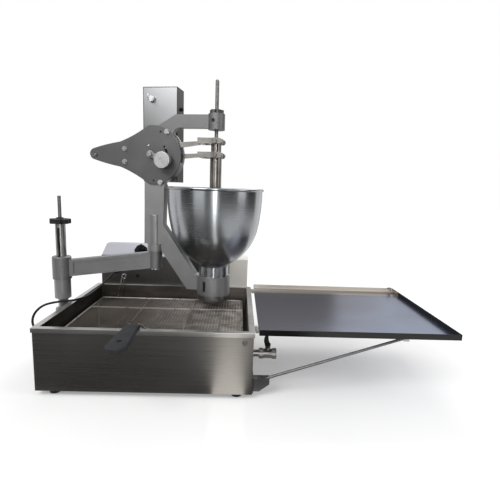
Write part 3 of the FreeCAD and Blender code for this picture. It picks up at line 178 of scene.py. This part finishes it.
# shader helpers: a signal is a socket to reckon with, a board is a tree of nodes
class Signal:
    def __init__(self, board, socket):
        self.board = board
        self.socket = socket

    def calc(self, operation, a, b):
        made = self.board.node("ShaderNodeMath", {"operation": operation}, {0: a, 1: b})
        return self.board.out(made, 0)

    def __add__(self, other):
        return self.calc("ADD", self, other)

    def __radd__(self, other):
        return self.calc("ADD", other, self)

    def __sub__(self, other):
        return self.calc("SUBTRACT", self, other)

    def __rsub__(self, other):
        return self.calc("SUBTRACT", other, self)

    def __mul__(self, other):
        return self.calc("MULTIPLY", self, other)

    def __rmul__(self, other):
        return self.calc("MULTIPLY", other, self)

    def __pow__(self, other):
        return self.calc("POWER", self, other)

    def least(self, other):
        return self.calc("MINIMUM", self, other)


class Board:
    def __init__(self, tree):
        self.tree = tree

    def node(self, kind, settings, inputs):
        made = self.tree.nodes.new(kind)
        for key, value in settings.items():
            setattr(made, key, value)
        for key, value in inputs.items():
            self.feed(made.inputs[key], value)
        return made

    def feed(self, socket, value):
        if isinstance(value, Signal):
            self.tree.links.new(value.socket, socket)
        else:
            socket.default_value = value

    def out(self, made, key):
        return Signal(self, made.outputs[key])

    def place(self, scale=(1, 1, 1), centre=(0, 0, 0)):
        at = self.out(self.node("ShaderNodeTexCoord", {}, {}), "Object")
        shift = tuple(-c * s for c, s in zip(centre, scale))
        made = self.node("ShaderNodeMapping", {}, {"Vector": at, "Scale": scale, "Location": shift})
        return self.out(made, 0)

    def noise(self, vector, scale=1.0, detail=3.0, distortion=0.0):
        made = self.node("ShaderNodeTexNoise", {},
                         {"Vector": vector, "Scale": scale, "Detail": detail, "Distortion": distortion})
        return self.out(made, 0)

    def split(self, vector):
        made = self.node("ShaderNodeSeparateXYZ", {}, {0: vector})
        return [self.out(made, n) for n in range(3)]

    def join(self, x, y, z):
        return self.out(self.node("ShaderNodeCombineXYZ", {}, {0: x, 1: y, 2: z}), 0)

    def clip(self, value, low, high):
        made = self.node("ShaderNodeMapRange", {"clamp": True}, {0: value, 1: low, 2: high})
        return self.out(made, 0)

    def past(self, value, span):
        # 0 before a span, 1 after it
        return self.clip(value, span["from"], span["to"])

    def mixed(self, low, high, share):
        made = self.node("ShaderNodeMix", {"data_type": "RGBA"}, {0: share, 6: low, 7: high})
        return self.out(made, 2)

    def blended(self, fine, coarse, share):
        # 0 to 1 from two noises, without their rare ends
        return self.clip(fine * share + coarse * (1 - share), 0.3, 0.7)

    def greys(self, tones, share, warm=0.0):
        dark, light = (grey(tone, warm) for tone in tones)
        return self.mixed(dark, light, share)

    def seenDirectly(self):
        # 1 for what the camera sees straight, mirrored or through glass
        path = self.node("ShaderNodeLightPath", {}, {})
        straight = self.out(path, "Is Camera Ray")
        mirrored = self.out(path, "Is Glossy Ray")
        through = self.out(path, "Is Transmission Ray")
        return self.clip(straight + mirrored + through, 0.0, 1.0)


class Finish(Board):
    def __init__(self, name, metallic, rough):
        self.material = bpy.data.materials.new(name)
        self.material.use_nodes = True
        super().__init__(self.material.node_tree)
        self.shader = self.tree.nodes["Principled BSDF"]
        self.paint({"Metallic": metallic, "Roughness": rough})

    def paint(self, inputs):
        for key, value in inputs.items():
            self.feed(self.shader.inputs[key], value)

    def relief(self, height, depth, strength):
        made = self.node("ShaderNodeBump", {}, {"Height": height, "Distance": depth, "Strength": strength})
        self.paint({"Normal": self.out(made, 0)})


def grey(value, warm=0.0):
    return (value * (1 + warm), value, value * (1 - warm), 1)


def brushedSheet(name, tones, grain, rough, warm=0.0):
    # long fine scratches in one direction, with soft patches from handling
    finish = Finish(name, metallic=1.0, rough=rough)
    streak = finish.noise(finish.place(grain), detail=5.0)
    patch = finish.noise(finish.place(), scale=4.0, detail=4.0, distortion=0.6)
    finish.paint({
        "Base Color": finish.greys(tones, finish.blended(streak, patch, 0.55), warm),
        "Roughness": rough - 0.1 + streak * 0.12 + patch * 0.1,
    })
    finish.relief(streak, depth=0.00003, strength=0.4)
    return finish


def spunSheet(name, tones, rough, warm, centre, fineness=700):
    # fine rings round a vertical axis, as spinning leaves them; highlights stretch across the rings
    finish = Finish(name, metallic=1.0, rough=rough)
    x, y, z = finish.split(finish.place(centre=centre))
    radius = (x * x + y * y) ** 0.5
    ring = finish.noise(finish.join(radius * fineness, z * fineness, 0.0))
    patch = finish.noise(finish.place(), scale=7.0, distortion=0.4)
    finish.paint({
        "Base Color": finish.greys(tones, finish.blended(ring, patch, 0.2), warm),
        "Roughness": rough - 0.06 + ring * 0.06 + patch * 0.06,
        "Anisotropic": 0.75,
        "Anisotropic Rotation": 0.25,
    })
    finish.relief(ring, depth=0.000005, strength=0.15)
    return finish


# heights above the rim
upperArm = {"from": 0.52, "to": 0.57}


def sandCasting(name, tones, rough, dull=1.0):
    # satin cast metal: fine skin, faint blotches, duller on the upper arm
    finish = Finish(name, metallic=0.85, rough=rough)
    skin = finish.noise(finish.place(), scale=900.0)
    blotch = finish.noise(finish.place(), scale=14.0, detail=4.0, distortion=0.3)
    tone = finish.blended(skin, blotch, 0.35)
    plain = finish.greys(tones, tone)
    dulled = finish.greys([t * dull for t in tones], tone)
    height = finish.split(finish.place(centre=tankZero))[2]
    finish.paint({
        "Base Color": finish.mixed(plain, dulled, finish.past(height, upperArm)),
        "Roughness": rough - 0.06 + skin * 0.08 + blotch * 0.06,
    })
    finish.relief(skin, depth=0.00015, strength=0.6)
    return finish


def polishedBar(name, tones, rough, warm=0.0, grain=(90, 90, 700)):
    # bright turned or drawn metal with faint wear
    finish = Finish(name, metallic=1.0, rough=rough)
    turned = finish.noise(finish.place(grain))
    wear = finish.noise(finish.place(), scale=30.0, detail=4.0, distortion=0.5)
    finish.paint({
        "Base Color": finish.greys(tones, finish.blended(turned, wear, 0.5), warm),
        "Roughness": rough - 0.05 + wear * 0.12,
    })
    finish.relief(turned, depth=0.00002, strength=0.4)
    return finish


# places across the tank, and how warm the wire is before and after
screenTones = {"from": -0.08, "to": 0.24, "warm": 0.12, "rightWarm": 0.08}


def wovenWire(name, tones, rough, tonesAcross):
    # darker and browner to the left, paler to the right, with random darker blotches
    finish = Finish(name, metallic=1.0, rough=rough)
    brown = grey(tones[0], tonesAcross["warm"])
    rightWire = grey(tones[1], tonesAcross["rightWarm"])
    across = finish.split(finish.place(centre=tankZero))[0]
    right = finish.mixed(brown, rightWire, finish.past(across, tonesAcross))
    blotches = finish.noise(finish.place(), scale=25.0, detail=4.0, distortion=0.5)
    finish.paint({
        "Base Color": finish.mixed(brown, right, finish.clip(blotches, 0.25, 0.6)),
        "Roughness": rough - 0.05 + blotches * 0.12,
    })
    return finish


def mouldedPlastic(name, colour, rough, depth=0.0002, scale=1200.0, gloss=0.22):
    # matt moulded surface with a fine grain and dusty high spots
    finish = Finish(name, metallic=0.0, rough=rough)
    grain = finish.noise(finish.place(), scale=scale, detail=2.0)
    dust = finish.noise(finish.place(), scale=22.0, detail=4.0, distortion=0.5)
    dusty = tuple(c * 1.7 + 0.006 for c in colour[:3]) + (1,)
    finish.paint({
        "Base Color": finish.mixed(colour, dusty, finish.clip(dust, 0.4, 0.75)),
        "Roughness": rough - 0.06 + dust * 0.12,
        "Specular IOR Level": gloss,
    })
    finish.relief(grain, depth=depth, strength=0.5)
    return finish


# colours, and the places along the tank's x or y where they begin
lidSheet = {
    "mirror": (0.72, 0.73, 0.76, 1),
    # the sheet's two tones for a painted reflection: darker at the back left, paler towards the front right
    "dull": (0.19, 0.192, 0.22, 1),
    "paintedSheen": (0.34, 0.38, 0.49, 1),
    # near-black painted shade on the front and right folds
    "frontFoldShade": {"colour": grey(0.038), "from": 0.002, "to": 0.005},
    "rightFoldShade": {"colour": grey(0.03), "from": lidCorner.x - 0.005, "to": lidCorner.x - 0.002},
    "backStrip": {"colour": (0.42, 0.38, 0.35, 1), "from": 0.428, "to": 0.44},
    "backLip": {"colour": (0.72, 0.68, 0.61, 1), "from": 0.493, "to": 0.497},
    "matt": {"share": 0.8, "from": 0.48, "to": 0.497},
}


def traySheet(name, rough, spec):
    # blue-grey sheet with a painted reflection that pales it towards its front right, painted shade on its
    # folds, a warm strip along its back edge
    finish = Finish(name, metallic=1.0, rough=rough)
    x, y = finish.split(finish.place(centre=tankZero))[:2]
    streak = finish.noise(finish.place((4, 300, 300)), detail=4.0)
    cloud = finish.noise(finish.place(), scale=3.2, distortion=0.8)
    # share of the painted reflection, growing towards the front right
    paintedSheen = finish.clip(x * 0.9 - y * 0.6 + cloud * 0.4, 0.58, 1.05)
    sheet = finish.mixed(spec["dull"], spec["paintedSheen"], paintedSheen)
    # painted shade on the front fold, then the right fold, then the back strip and the back lip
    colour = finish.mixed(spec["frontFoldShade"]["colour"], sheet, finish.past(y, spec["frontFoldShade"]))
    for key, value in {"rightFoldShade": x, "backStrip": y, "backLip": y}.items():
        colour = finish.mixed(colour, spec[key]["colour"], finish.past(value, spec[key]))
    finish.paint({
        "Base Color": colour,
        "Roughness": rough - 0.05 + streak * 0.1,
        "Metallic": 1 - finish.past(y, spec["matt"]) * spec["matt"]["share"],
        "Specular Tint": spec["mirror"],
    })
    finish.relief(streak, depth=0.00002, strength=0.3)
    return finish


uprightGrain = (420, 420, 4)
# the panel begins behind the head's front; the cream painted highlight is at its right end
controlHead = {
    "panel": {"colour": (0.47, 0.47, 0.52, 1), "from": headFront + 0.003, "to": headFront + 0.008},
    "end": {"colour": (0.94, 0.91, 0.84, 1), "matt": 0.85, "from": 0.207, "to": 0.216},
}


def headSheet(name, tones, rough, spec):
    # control head: brushed front, pale sloped panel, right end painted cream-white as a highlight
    finish = Finish(name, metallic=1.0, rough=rough)
    panel = spec["panel"]
    end = spec["end"]
    x, y = finish.split(finish.place(centre=tankZero))[:2]
    streak = finish.noise(finish.place(uprightGrain), detail=4.0)
    cloud = finish.noise(finish.place(), scale=5.0, distortion=0.5)
    front = finish.mixed(grey(tones[0], 0.05), grey(tones[1], 0.04), finish.blended(streak, cloud, 0.4))
    sloped = finish.mixed(front, panel["colour"], finish.past(y, panel))
    # 1 over the right end, where a matt cream painted highlight takes the place of the steel
    right = finish.past(x, end)
    finish.paint({
        "Base Color": finish.mixed(sloped, end["colour"], right),
        "Roughness": rough - 0.06 + streak * 0.12,
        "Metallic": 1 - right * end["matt"],
    })
    finish.relief(streak, depth=0.00002, strength=0.4)
    return finish


# the fold's painted shade is measured in from the plate's edges
frontPlate = {
    "dull": grey(0.19),
    "paintedSheen": grey(0.38, -0.02),
    "foldShade": {"colour": grey(0.035), "from": 0.0018, "to": 0.0028},
}


def plateSheet(name, rough, spec):
    # satin front plate: painted shade darkens its folded edges, a painted highlight makes it paler to the
    # top right
    finish = Finish(name, metallic=1.0, rough=rough)
    x, y, z = finish.split(finish.place(centre=onDepositor(0, 0, 0)))
    u = x * alongU.x + y * alongU.y
    streak = finish.noise(finish.place((1500, 1500, 9)), detail=4.0)
    cloud = finish.noise(finish.place(), scale=9.0, distortion=0.5)
    # painted highlight: paler towards the top right
    paintedSheen = finish.clip(u * 3.0 + z * 2.2 + cloud * 0.3 + streak * 0.1, 1.30, 1.95)
    sheet = finish.mixed(spec["dull"], spec["paintedSheen"], paintedSheen)
    # painted shade: near-black within a few millimetres of the folded left, right and top edges
    inset = (u - boxLow.x).least(boxHigh.x - u).least(boxHigh.z - z)
    finish.paint({
        "Base Color": finish.mixed(spec["foldShade"]["colour"], sheet, finish.past(inset, spec["foldShade"])),
        "Roughness": rough - 0.06 + streak * 0.12,
    })
    finish.relief(streak, depth=0.00001, strength=0.3)
    return finish


acrossGrain = (3, 420, 420)
plainBlack = (0.012, 0.012, 0.013, 1)
gripBlack = (0.02, 0.021, 0.024, 1)
# steels and castings are given by their darkest and lightest grey
finishes = {
    "tank_steel": brushedSheet("tankSteel", (0.20, 0.27), acrossGrain, rough=0.28, warm=0.03),
    "rim_steel": brushedSheet("rimSteel", (0.36, 0.50), acrossGrain, rough=0.28, warm=0.02),
    # the pan's warm brown tone is a painted reflection on dark steel
    "pan_steel": brushedSheet("panSteel", (0.07, 0.15), (14, 14, 60), rough=0.36, warm=0.12),
    "panel_steel": brushedSheet("panelSteel", (0.26, 0.36), uprightGrain, rough=0.42, warm=-0.01),
    "lid_steel": traySheet("lidSteel", 0.24, lidSheet),
    "strut_steel": polishedBar("strutSteel", (0.13, 0.22), rough=0.42),
    "wire_steel": polishedBar("wireSteel", (0.34, 0.58), rough=0.28, warm=0.04),
    "post_steel": polishedBar("postSteel", (0.16, 0.42), rough=0.30, warm=0.02, grain=(600, 600, 6)),
    "element_steel": polishedBar("elementSteel", (0.05, 0.11), rough=0.5, warm=0.05),
    "hopper_steel": spunSheet("hopperSteel", (0.27, 0.38), rough=0.26, warm=-0.04, centre=hopperAxis),
    "casting": sandCasting("satinCasting", (0.26, 0.34), rough=0.5, dull=0.56),
    "cover_casting": sandCasting("coverCasting", (0.10, 0.14), rough=0.52),
    "turned_aluminium": polishedBar("turnedAluminium", (0.34, 0.56), rough=0.34, grain=(260, 260, 260)),
    "polished": polishedBar("polishedSteel", (0.34, 0.52), rough=0.24),
    "lever_steel": polishedBar("leverSteel", (0.20, 0.30), rough=0.38, warm=0.05),
    "nickel": polishedBar("nickelPlate", (0.13, 0.26), rough=0.30, warm=0.06),
    "black_plastic": mouldedPlastic("blackPlastic", plainBlack, rough=0.5),
    "device_plastic": mouldedPlastic("devicePlastic", (0.55, 0.53, 0.48, 1), rough=0.55),
    "foot_rubber": mouldedPlastic("footRubber", grey(0.012), rough=0.75, depth=0.0004, scale=700.0),
    "grip_rubber": mouldedPlastic("gripRubber", gripBlack, rough=0.62, depth=0.0004, scale=600.0),
    "lead_rubber": mouldedPlastic("leadRubber", plainBlack, rough=0.45, scale=900.0),
    "motor_paint": mouldedPlastic("motorPaint", (0.03, 0.03, 0.034, 1), rough=0.45),
}
# nodes whose finish differs from the rest of their slot
ownFinishes = {
    "plunger": polishedBar("tubeInner", (0.12, 0.40), rough=0.30, warm=0.07, grain=(700, 700, 5)),
    "cutter": polishedBar("tubeOuter", (0.12, 0.36), rough=0.30, warm=0.08, grain=(600, 600, 5)),
    "swing_arm": sandCasting("armCasting", (0.19, 0.26), rough=0.5),
    # the drive box's sides: a darker copy of brushed steel, painted shade standing in for their dark
    # reflection
    "drive_box": brushedSheet("boxSidePaintedShade", (0.035, 0.07), uprightGrain, rough=0.42),
    "control_housing": headSheet("headSteel", (0.09, 0.15), 0.36, controlHead),
    "drive_front": plateSheet("driveFrontSteel", 0.42, frontPlate),
    "adjust_knob": polishedBar("adjustKnobSteel", (0.06, 0.12), rough=0.42),
    "former": polishedBar("formerRod", (0.12, 0.22), rough=0.40, warm=0.04),
    "lift_rod": polishedBar("liftRod", (0.12, 0.22), rough=0.40, warm=0.04),
    "thermostat_dial": mouldedPlastic("dialPlastic", (0.010, 0.010, 0.011, 1), rough=0.5, gloss=0.03),
    "screen_mesh": wovenWire("weaveWire", (0.09, 0.62), 0.36, screenTones),
}


def finishFor(nodeName):
    return ownFinishes.get(nodeName, finishes[slotOf[nodeName]]).material


for name, node in nodes.items():
    node.data.materials.clear()
    node.data.materials.append(finishFor(name))
leadCable.data.materials.append(finishes["lead_rubber"].material)
print("finishes made:", len(finishes) + len(ownFinishes))


# modelling helpers
def deselectAll():
    for other in bpy.context.view_layer.objects:
        other.select_set(False)


def makeActive(piece):
    deselectAll()
    bpy.context.view_layer.objects.active = piece
    piece.select_set(True)


def applyAll(piece):
    makeActive(piece)
    bpy.ops.object.transform_apply(location=True, rotation=True, scale=True)
    for modifier in list(piece.modifiers):
        bpy.ops.object.modifier_apply(modifier=modifier.name)


def joinAll(pieces):
    makeActive(pieces[0])
    for piece in pieces[1:]:
        piece.select_set(True)
    if len(pieces) > 1:
        bpy.ops.object.join()
    return pieces[0]


def roundEdges(piece, radius, sharpness=50):
    bevel = piece.modifiers.new("edges", "BEVEL")
    bevel.width = radius
    bevel.segments = 2
    bevel.limit_method = "ANGLE"
    bevel.angle_limit = math.radians(sharpness)


def settle(piece, name, body, slotName, stands=(), look=None):
    applyAll(piece)
    bpy.ops.object.shade_smooth_by_angle(angle=math.radians(35))
    piece.name = name
    piece.data.name = name
    piece.data.materials.clear()
    piece.data.materials.append(look or finishes[slotName].material)
    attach(piece, body)
    for nodeName in stands:
        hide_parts(nodeName)


# castings, sheet boxes and grips whose edges are rounded: node, name, edge radius in metres
softEdges = {
    "swing_arm": ("swingArmCast", 0.0022),
    "depositor_frame": ("depositorFrameCast", 0.0022),
    "cover_plate": ("coverPlateCast", 0.0014),
    "ring_gate": ("ringGateCast", 0.0014),
    "post_bracket": ("postBracketCast", 0.002),
    "screen_grip": ("screenGripMoulded", 0.0024),
    "tank_shell": ("tankShellFolded", 0.0022),
    "tank_rim": ("tankRimFolded", 0.001),
    "control_housing": ("controlHousingFolded", 0.002),
    "drive_box": ("driveBoxFolded", 0.0016),
    "lid_pan": ("lidPanFolded", 0.0008),
    "upper_lever": ("upperLeverGround", 0.001),
    "lower_lever": ("lowerLeverGround", 0.001),
    "strut_bracket": ("strutSeatFolded", 0.001),
    "crank_arm": ("crankArmGround", 0.001),
    "lift_knob": ("liftKnobMoulded", 0.002),
    "adjust_knob": ("adjustKnobMoulded", 0.0016),
    "valve_lever": ("valveLeverMoulded", 0.0012),
    "valve_body": ("valveBodyForged", 0.0008),
    "thermostat_dial": ("thermostatDialMoulded", 0.0014),
    "post_sleeve": ("postSleeveCast", 0.0012),
    "feet": ("feetMoulded", 0.0015),
}
# corners closer than this are one, and faces that turn by less than this are one
merging = {"gap": 0.00002, "degrees": 0.5}


def soften(nodeName, name, radius):
    piece = bpy.data.objects.new(name, nodes[nodeName].data.copy())
    scene.collection.objects.link(piece)
    makeActive(piece)
    bpy.ops.object.mode_set(mode="EDIT")
    bpy.ops.mesh.select_all(action="SELECT")
    bpy.ops.mesh.customdata_custom_splitnormals_clear()
    bpy.ops.mesh.remove_doubles(threshold=merging["gap"])
    bpy.ops.mesh.dissolve_limited(angle_limit=math.radians(merging["degrees"]))
    bpy.ops.object.mode_set(mode="OBJECT")
    roundEdges(piece, radius)
    settle(piece, name, bodyOf[nodeName], slotOf[nodeName], [nodeName], finishFor(nodeName))
    # wide faces stay flat beside their rounded edges
    level = piece.modifiers.new("level", "WEIGHTED_NORMAL")
    level.keep_sharp = True
    bpy.ops.object.modifier_apply(modifier="level")


for nodeName, (name, radius) in softEdges.items():
    soften(nodeName, name, radius)
print("edges rounded on", len(softEdges), "pieces")

# fine mesh of the fry screen: the two layers lie a little less than a wire's thickness apart
weave = {"wire": 0.0005, "pitch": 0.0095, "sides": 6, "layer": 0.0004}


def layWires(length, width, across, centre, spec):
    # a row of wires side by side along one axis, each lying along the other
    count = int(width / spec["pitch"])
    deselectAll()
    bpy.ops.mesh.primitive_cylinder_add(vertices=spec["sides"], radius=spec["wire"], depth=length,
                                        end_fill_type="NGON", location=(0, 0, 0))
    wires = bpy.context.object
    wires.rotation_euler = (math.pi / 2, 0, 0) if across == 0 else (0, math.pi / 2, 0)
    start = Vector(centre)
    start[across] -= spec["pitch"] * (count - 1) / 2
    wires.location = start
    offset = Vector((0, 0, 0))
    offset[across] = spec["pitch"]
    row = wires.modifiers.new("row", "ARRAY")
    row.count = count
    row.use_relative_offset = False
    row.use_constant_offset = True
    row.constant_offset_displace = offset
    applyAll(wires)
    return wires


def makeWeave(spec):
    low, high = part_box("screen_mesh")
    size = high - low
    centre = middleOf("screen_mesh")
    layer = Vector((0, 0, spec["layer"]))
    alongX = layWires(size.x, size.y, 1, centre - layer, spec)
    alongY = layWires(size.y, size.x, 0, centre + layer, spec)
    both = joinAll([alongX, alongY])
    settle(both, "screenWeave", "screen", "wire_steel", ["screen_mesh"], finishFor("screen_mesh"))


makeWeave(weave)
print("fry screen woven")


# small fasteners, plugs and finger bars are copies of two masters
def stepTop(piece, rim, rise):
    # insets the top face and moves it up or down
    bpy.context.tool_settings.mesh_select_mode = (False, False, True)
    makeActive(piece)
    bpy.ops.object.mode_set(mode="EDIT")
    bpy.ops.mesh.select_all(action="DESELECT")
    bpy.ops.object.mode_set(mode="OBJECT")
    for face in piece.data.polygons:
        face.select = face.normal.z > 0.9
    bpy.ops.object.mode_set(mode="EDIT")
    bpy.ops.mesh.inset(thickness=rim)
    bpy.ops.mesh.extrude_region_move(TRANSFORM_OT_translate={"value": (0, 0, rise)})
    bpy.ops.object.mode_set(mode="OBJECT")


def placeCopy(master, name, place, facing, size):
    made = bpy.data.objects.new(name, master.data.copy())
    scene.collection.objects.link(made)
    turn = facing.to_track_quat("Z", "Y").to_matrix().to_4x4()
    made.matrix_world = Matrix.Translation(place) @ turn @ Matrix.Scale(size, 4)
    applyAll(made)
    return made


screw = {"sides": 20, "radius": 0.004, "height": 0.0026, "rim": 0.0015, "socket": 0.0014, "round": 0.0005}


def modelScrew(spec):
    deselectAll()
    bpy.ops.mesh.primitive_cylinder_add(vertices=spec["sides"], radius=spec["radius"],
                                        depth=spec["height"], location=(0, 0, spec["height"] / 2))
    head = bpy.context.object
    applyAll(head)
    stepTop(head, spec["rim"], -spec["socket"])
    roundEdges(head, spec["round"])
    applyAll(head)
    return head


def setScrews(master, name, spec):
    heads = [placeCopy(master, name, place, spec["facing"], spec["size"]) for place in spec["places"]]
    settle(joinAll(heads), name, spec["body"], spec["slot"])


toFront = Vector((0, -1, 0))
toLeft = Vector((-1, 0, 0))
toTop = Vector((0, 0, 1))
bracketFront = shellLow.x - 0.006
backRows = (boxLow.z + 0.010, (boxLow.z + boxHigh.z) / 2, boxHigh.z - 0.010)
backColumns = (boxLow.x + 0.008, boxHigh.x - 0.008)
topColumns = (boxLow.x + 0.016, boxHigh.x - 0.016)
fasteners = {
    "driveBoxScrews": {
        "body": "depositor", "slot": "polished", "facing": toTop, "size": 1.0,
        "places": [onDepositor(u, 0.036, boxHigh.z) for u in topColumns],
    },
    "bossSetScrew": {
        "body": "depositor", "slot": "black_plastic", "facing": -alongV, "size": 1.3,
        "places": [onDepositor(0.205, -0.0262, 0.597)],
    },
    "coverPlugs": {
        "body": "depositor", "slot": "black_plastic", "facing": -alongV, "size": 0.7,
        "places": [onDepositor(0.027, coverFront, 0.560), onDepositor(0.002, coverFront, 0.402)],
    },
    "coverPeg": {
        "body": "depositor", "slot": "polished", "facing": -alongV, "size": 0.8,
        "places": [onDepositor(-0.015, coverFront, 0.516)],
    },
    "headPlug": {
        "body": "fryer", "slot": "black_plastic", "facing": toFront, "size": 1.7,
        "places": [onTank(-0.1458, headFront, 0.0324)],
    },
    "frontPlug": {
        "body": "fryer", "slot": "strut_steel", "facing": toFront, "size": 1.7,
        "places": [onTank(0.273, shellLow.y, -0.029)],
    },
    "bracketScrews": {
        "body": "fryer", "slot": "polished", "facing": toLeft, "size": 1.2,
        "places": [onTank(bracketFront, y, z) for y in (0.262, 0.338) for z in (-0.058, -0.096)],
    },
    "driveBackScrews": {
        "body": "depositor", "slot": "polished", "facing": alongV, "size": 1.0,
        "places": [onDepositor(u, boxHigh.y, z) for u in backColumns for z in backRows],
    },
    "lidCornerScrew": {
        "body": "lid", "slot": "nickel", "facing": toTop, "size": 1.8,
        "places": [onTank(lidCorner.x - 0.016, lidCorner.y - 0.012, lidCorner.z - 0.001)],
    },
}
screwMaster = modelScrew(screw)
for name, spec in fasteners.items():
    setScrews(screwMaster, name, spec)
bpy.data.objects.remove(screwMaster)
print("fasteners set")

# finger bars on the two dials
fingerBar = {
    "length": 0.030, "width": 0.007, "height": 0.005, "taper": 0.0012,
    "round": 0.0008, "sharpness": 30,
}
dialBars = {
    "thermostatFingerBar": {
        "joint": "thermostat_turn", "height": 0.0158, "size": 1.0,
        "slot": "black_plastic", "look": finishFor("thermostat_dial"),
    },
    "speedFingerBar": {
        "joint": "speed_turn", "height": 0.0088, "size": 0.55,
        "slot": "turned_aluminium", "look": finishFor("speed_dial"),
    },
}


def modelBar(spec):
    deselectAll()
    bpy.ops.mesh.primitive_cube_add(size=1.0)
    bar = bpy.context.object
    bar.scale = (spec["width"], spec["length"], spec["height"])
    bar.location = (0, 0, spec["height"] / 2)
    applyAll(bar)
    stepTop(bar, spec["taper"], spec["taper"])
    roundEdges(bar, spec["round"], spec["sharpness"])
    applyAll(bar)
    return bar


def setBar(master, name, spec):
    joint = joints[spec["joint"]]
    axis = Vector(joint["axis"])
    bar = placeCopy(master, name, Vector(joint["pos_m"]) + axis * spec["height"], axis, spec["size"])
    settle(bar, name, joint["child"], spec["slot"], (), spec["look"])


barMaster = modelBar(fingerBar)
for name, spec in dialBars.items():
    setBar(barMaster, name, spec)
bpy.data.objects.remove(barMaster)
print("finger bars set")

# floor and light
stageSet = {
    "size": 30.0, "floor": 0.80, "mottle": 0.01, "lift": 0.24, "near": 0.75, "far": 2.2,
    "world": 0.60,
}


def makeFloor(spec):
    # the camera sees the floor a little brighter than it is lit, and plain white further out
    deselectAll()
    bpy.ops.mesh.primitive_plane_add(size=spec["size"], location=(0, 0, 0))
    floor = bpy.context.object
    floor.name = "studioFloor"
    finish = Finish("studioFloor", metallic=0.0, rough=0.9)
    x, y = finish.split(finish.place())[:2]
    out = finish.clip((x * x + y * y) ** 0.5, spec["near"], spec["far"])
    shown = finish.seenDirectly()
    cloud = finish.noise(finish.place(), scale=1.5, detail=2.0)
    tone = finish.greys((spec["floor"] - spec["mottle"], spec["floor"] + spec["mottle"]), cloud)
    glow = shown * (out * (1 - spec["lift"]) + spec["lift"])
    finish.paint({
        "Base Color": finish.mixed(tone, grey(0.0), out * shown),
        "Emission Color": finish.greys((0.0, 1.0), glow),
        "Emission Strength": 1.0,
    })
    floor.data.materials.append(finish.material)


# cards that only reflections see: dark ones round the hopper in degrees, flat ones on the floor, one behind
darkCards = {"spans": [(-82, -46), (-20, -5), (7, 62), (62, 115)], "reach": 2.4, "height": 1.9}
flatCards = {
    "floorLeft": {"across": (-1.7, -0.06), "along": (-1.6, -0.245), "glow": 0.05},
    "floorMiddle": {"across": (-0.06, 0.032), "along": (-1.0, -0.245), "glow": 1.8},
    "floorRight": {"across": (0.032, 0.30), "along": (-1.6, -0.245), "glow": 0.0},
}
flatLift = 0.0008
backCard = {"across": (-0.2, 0.9), "y": 2.2, "height": 1.3, "glow": 0.22}


def cardFinish(name, glow):
    finish = Finish(name, metallic=0.0, rough=0.9)
    cloud = finish.noise(finish.place(), scale=2.0, detail=2.0)
    finish.paint({
        "Base Color": finish.greys((0.01, 0.03), cloud),
        "Emission Color": finish.mixed((1, 0.95, 0.86, 1), (1, 0.98, 0.93, 1), cloud),
        "Emission Strength": glow,
    })
    return finish.material


def makeCard(name, middle, size, turn, look):
    deselectAll()
    bpy.ops.mesh.primitive_plane_add(size=1.0, location=middle, rotation=turn)
    card = bpy.context.object
    card.name = name
    card.scale = (*size, 1)
    card.data.materials.append(look)
    card.visible_camera = False
    card.visible_diffuse = False
    card.visible_transmission = False
    card.visible_shadow = False
    card.visible_volume_scatter = False


def makeDarkCards(spec, look):
    for n, (start, end) in enumerate(spec["spans"]):
        middle = math.radians((start + end) / 2)
        width = 2 * spec["reach"] * math.tan(math.radians(end - start) / 2)
        place = (hopperAxis.x + spec["reach"] * math.sin(middle),
                 hopperAxis.y - spec["reach"] * math.cos(middle),
                 spec["height"] / 2)
        makeCard("darkCard" + str(n), place, (width, spec["height"]), (math.pi / 2, 0, middle), look)


def makeFlatCard(name, spec, dark):
    left, right = spec["across"]
    front, rear = spec["along"]
    look = cardFinish(name, spec["glow"]) if spec["glow"] else dark
    middle = ((left + right) / 2, (front + rear) / 2, flatLift)
    makeCard(name, middle, (right - left, rear - front), (0, 0, 0), look)


def makeBackCard(spec):
    left, right = spec["across"]
    middle = ((left + right) / 2, spec["y"], spec["height"] / 2)
    look = cardFinish("backCard", spec["glow"])
    makeCard("backCard", middle, (right - left, spec["height"]), (math.pi / 2, 0, 0), look)


def makeWorld(spec):
    # plain white where it is seen, dimmer where it only lights
    world = bpy.data.worlds.new("studioWorld")
    scene.world = world
    world.use_nodes = True
    board = Board(world.node_tree)
    back = world.node_tree.nodes["Background"]
    board.feed(back.inputs["Color"], grey(1.0))
    board.feed(back.inputs["Strength"], board.seenDirectly() * (1 - spec["world"]) + spec["world"])


lamps = {
    "keyLamp": {"place": (-1.3, -1.7, 2.1), "size": (1.4, 1.0), "power": 34},
    "sideLamp": {"place": (1.9, -0.7, 1.3), "size": (0.9, 1.6), "power": 11},
    "backLamp": {"place": (0.3, 1.9, 2.2), "size": (1.8, 0.8), "power": 24},
    "stripLamp": {"place": (0.03, -1.75, 0.9), "size": (0.14, 1.7), "power": 9, "mirrored": True},
}
lampAim = Vector((0, 0, 0.4))


def makeLamp(name, spec):
    data = bpy.data.lights.new(name, "AREA")
    data.shape = "RECTANGLE"
    data.size, data.size_y = spec["size"]
    data.energy = spec["power"]
    lamp = bpy.data.objects.new(name, data)
    scene.collection.objects.link(lamp)
    lamp.location = spec["place"]
    lamp.rotation_euler = (lampAim - lamp.location).to_track_quat("-Z", "Y").to_euler()
    if spec.get("mirrored"):
        lamp.visible_diffuse = False  # it only shows as a bright streak in metal
        lamp.rotation_euler = (math.pi / 2, 0, 0)


makeFloor(stageSet)
darkLook = cardFinish("darkCard", 0.0)
makeDarkCards(darkCards, darkLook)
for name, spec in flatCards.items():
    makeFlatCard(name, spec, darkLook)
makeBackCard(backCard)
makeWorld(stageSet)
for name, spec in lamps.items():
    makeLamp(name, spec)
scene.view_settings.view_transform = "Standard"
print("stage set")

bpy.context.view_layer.update()
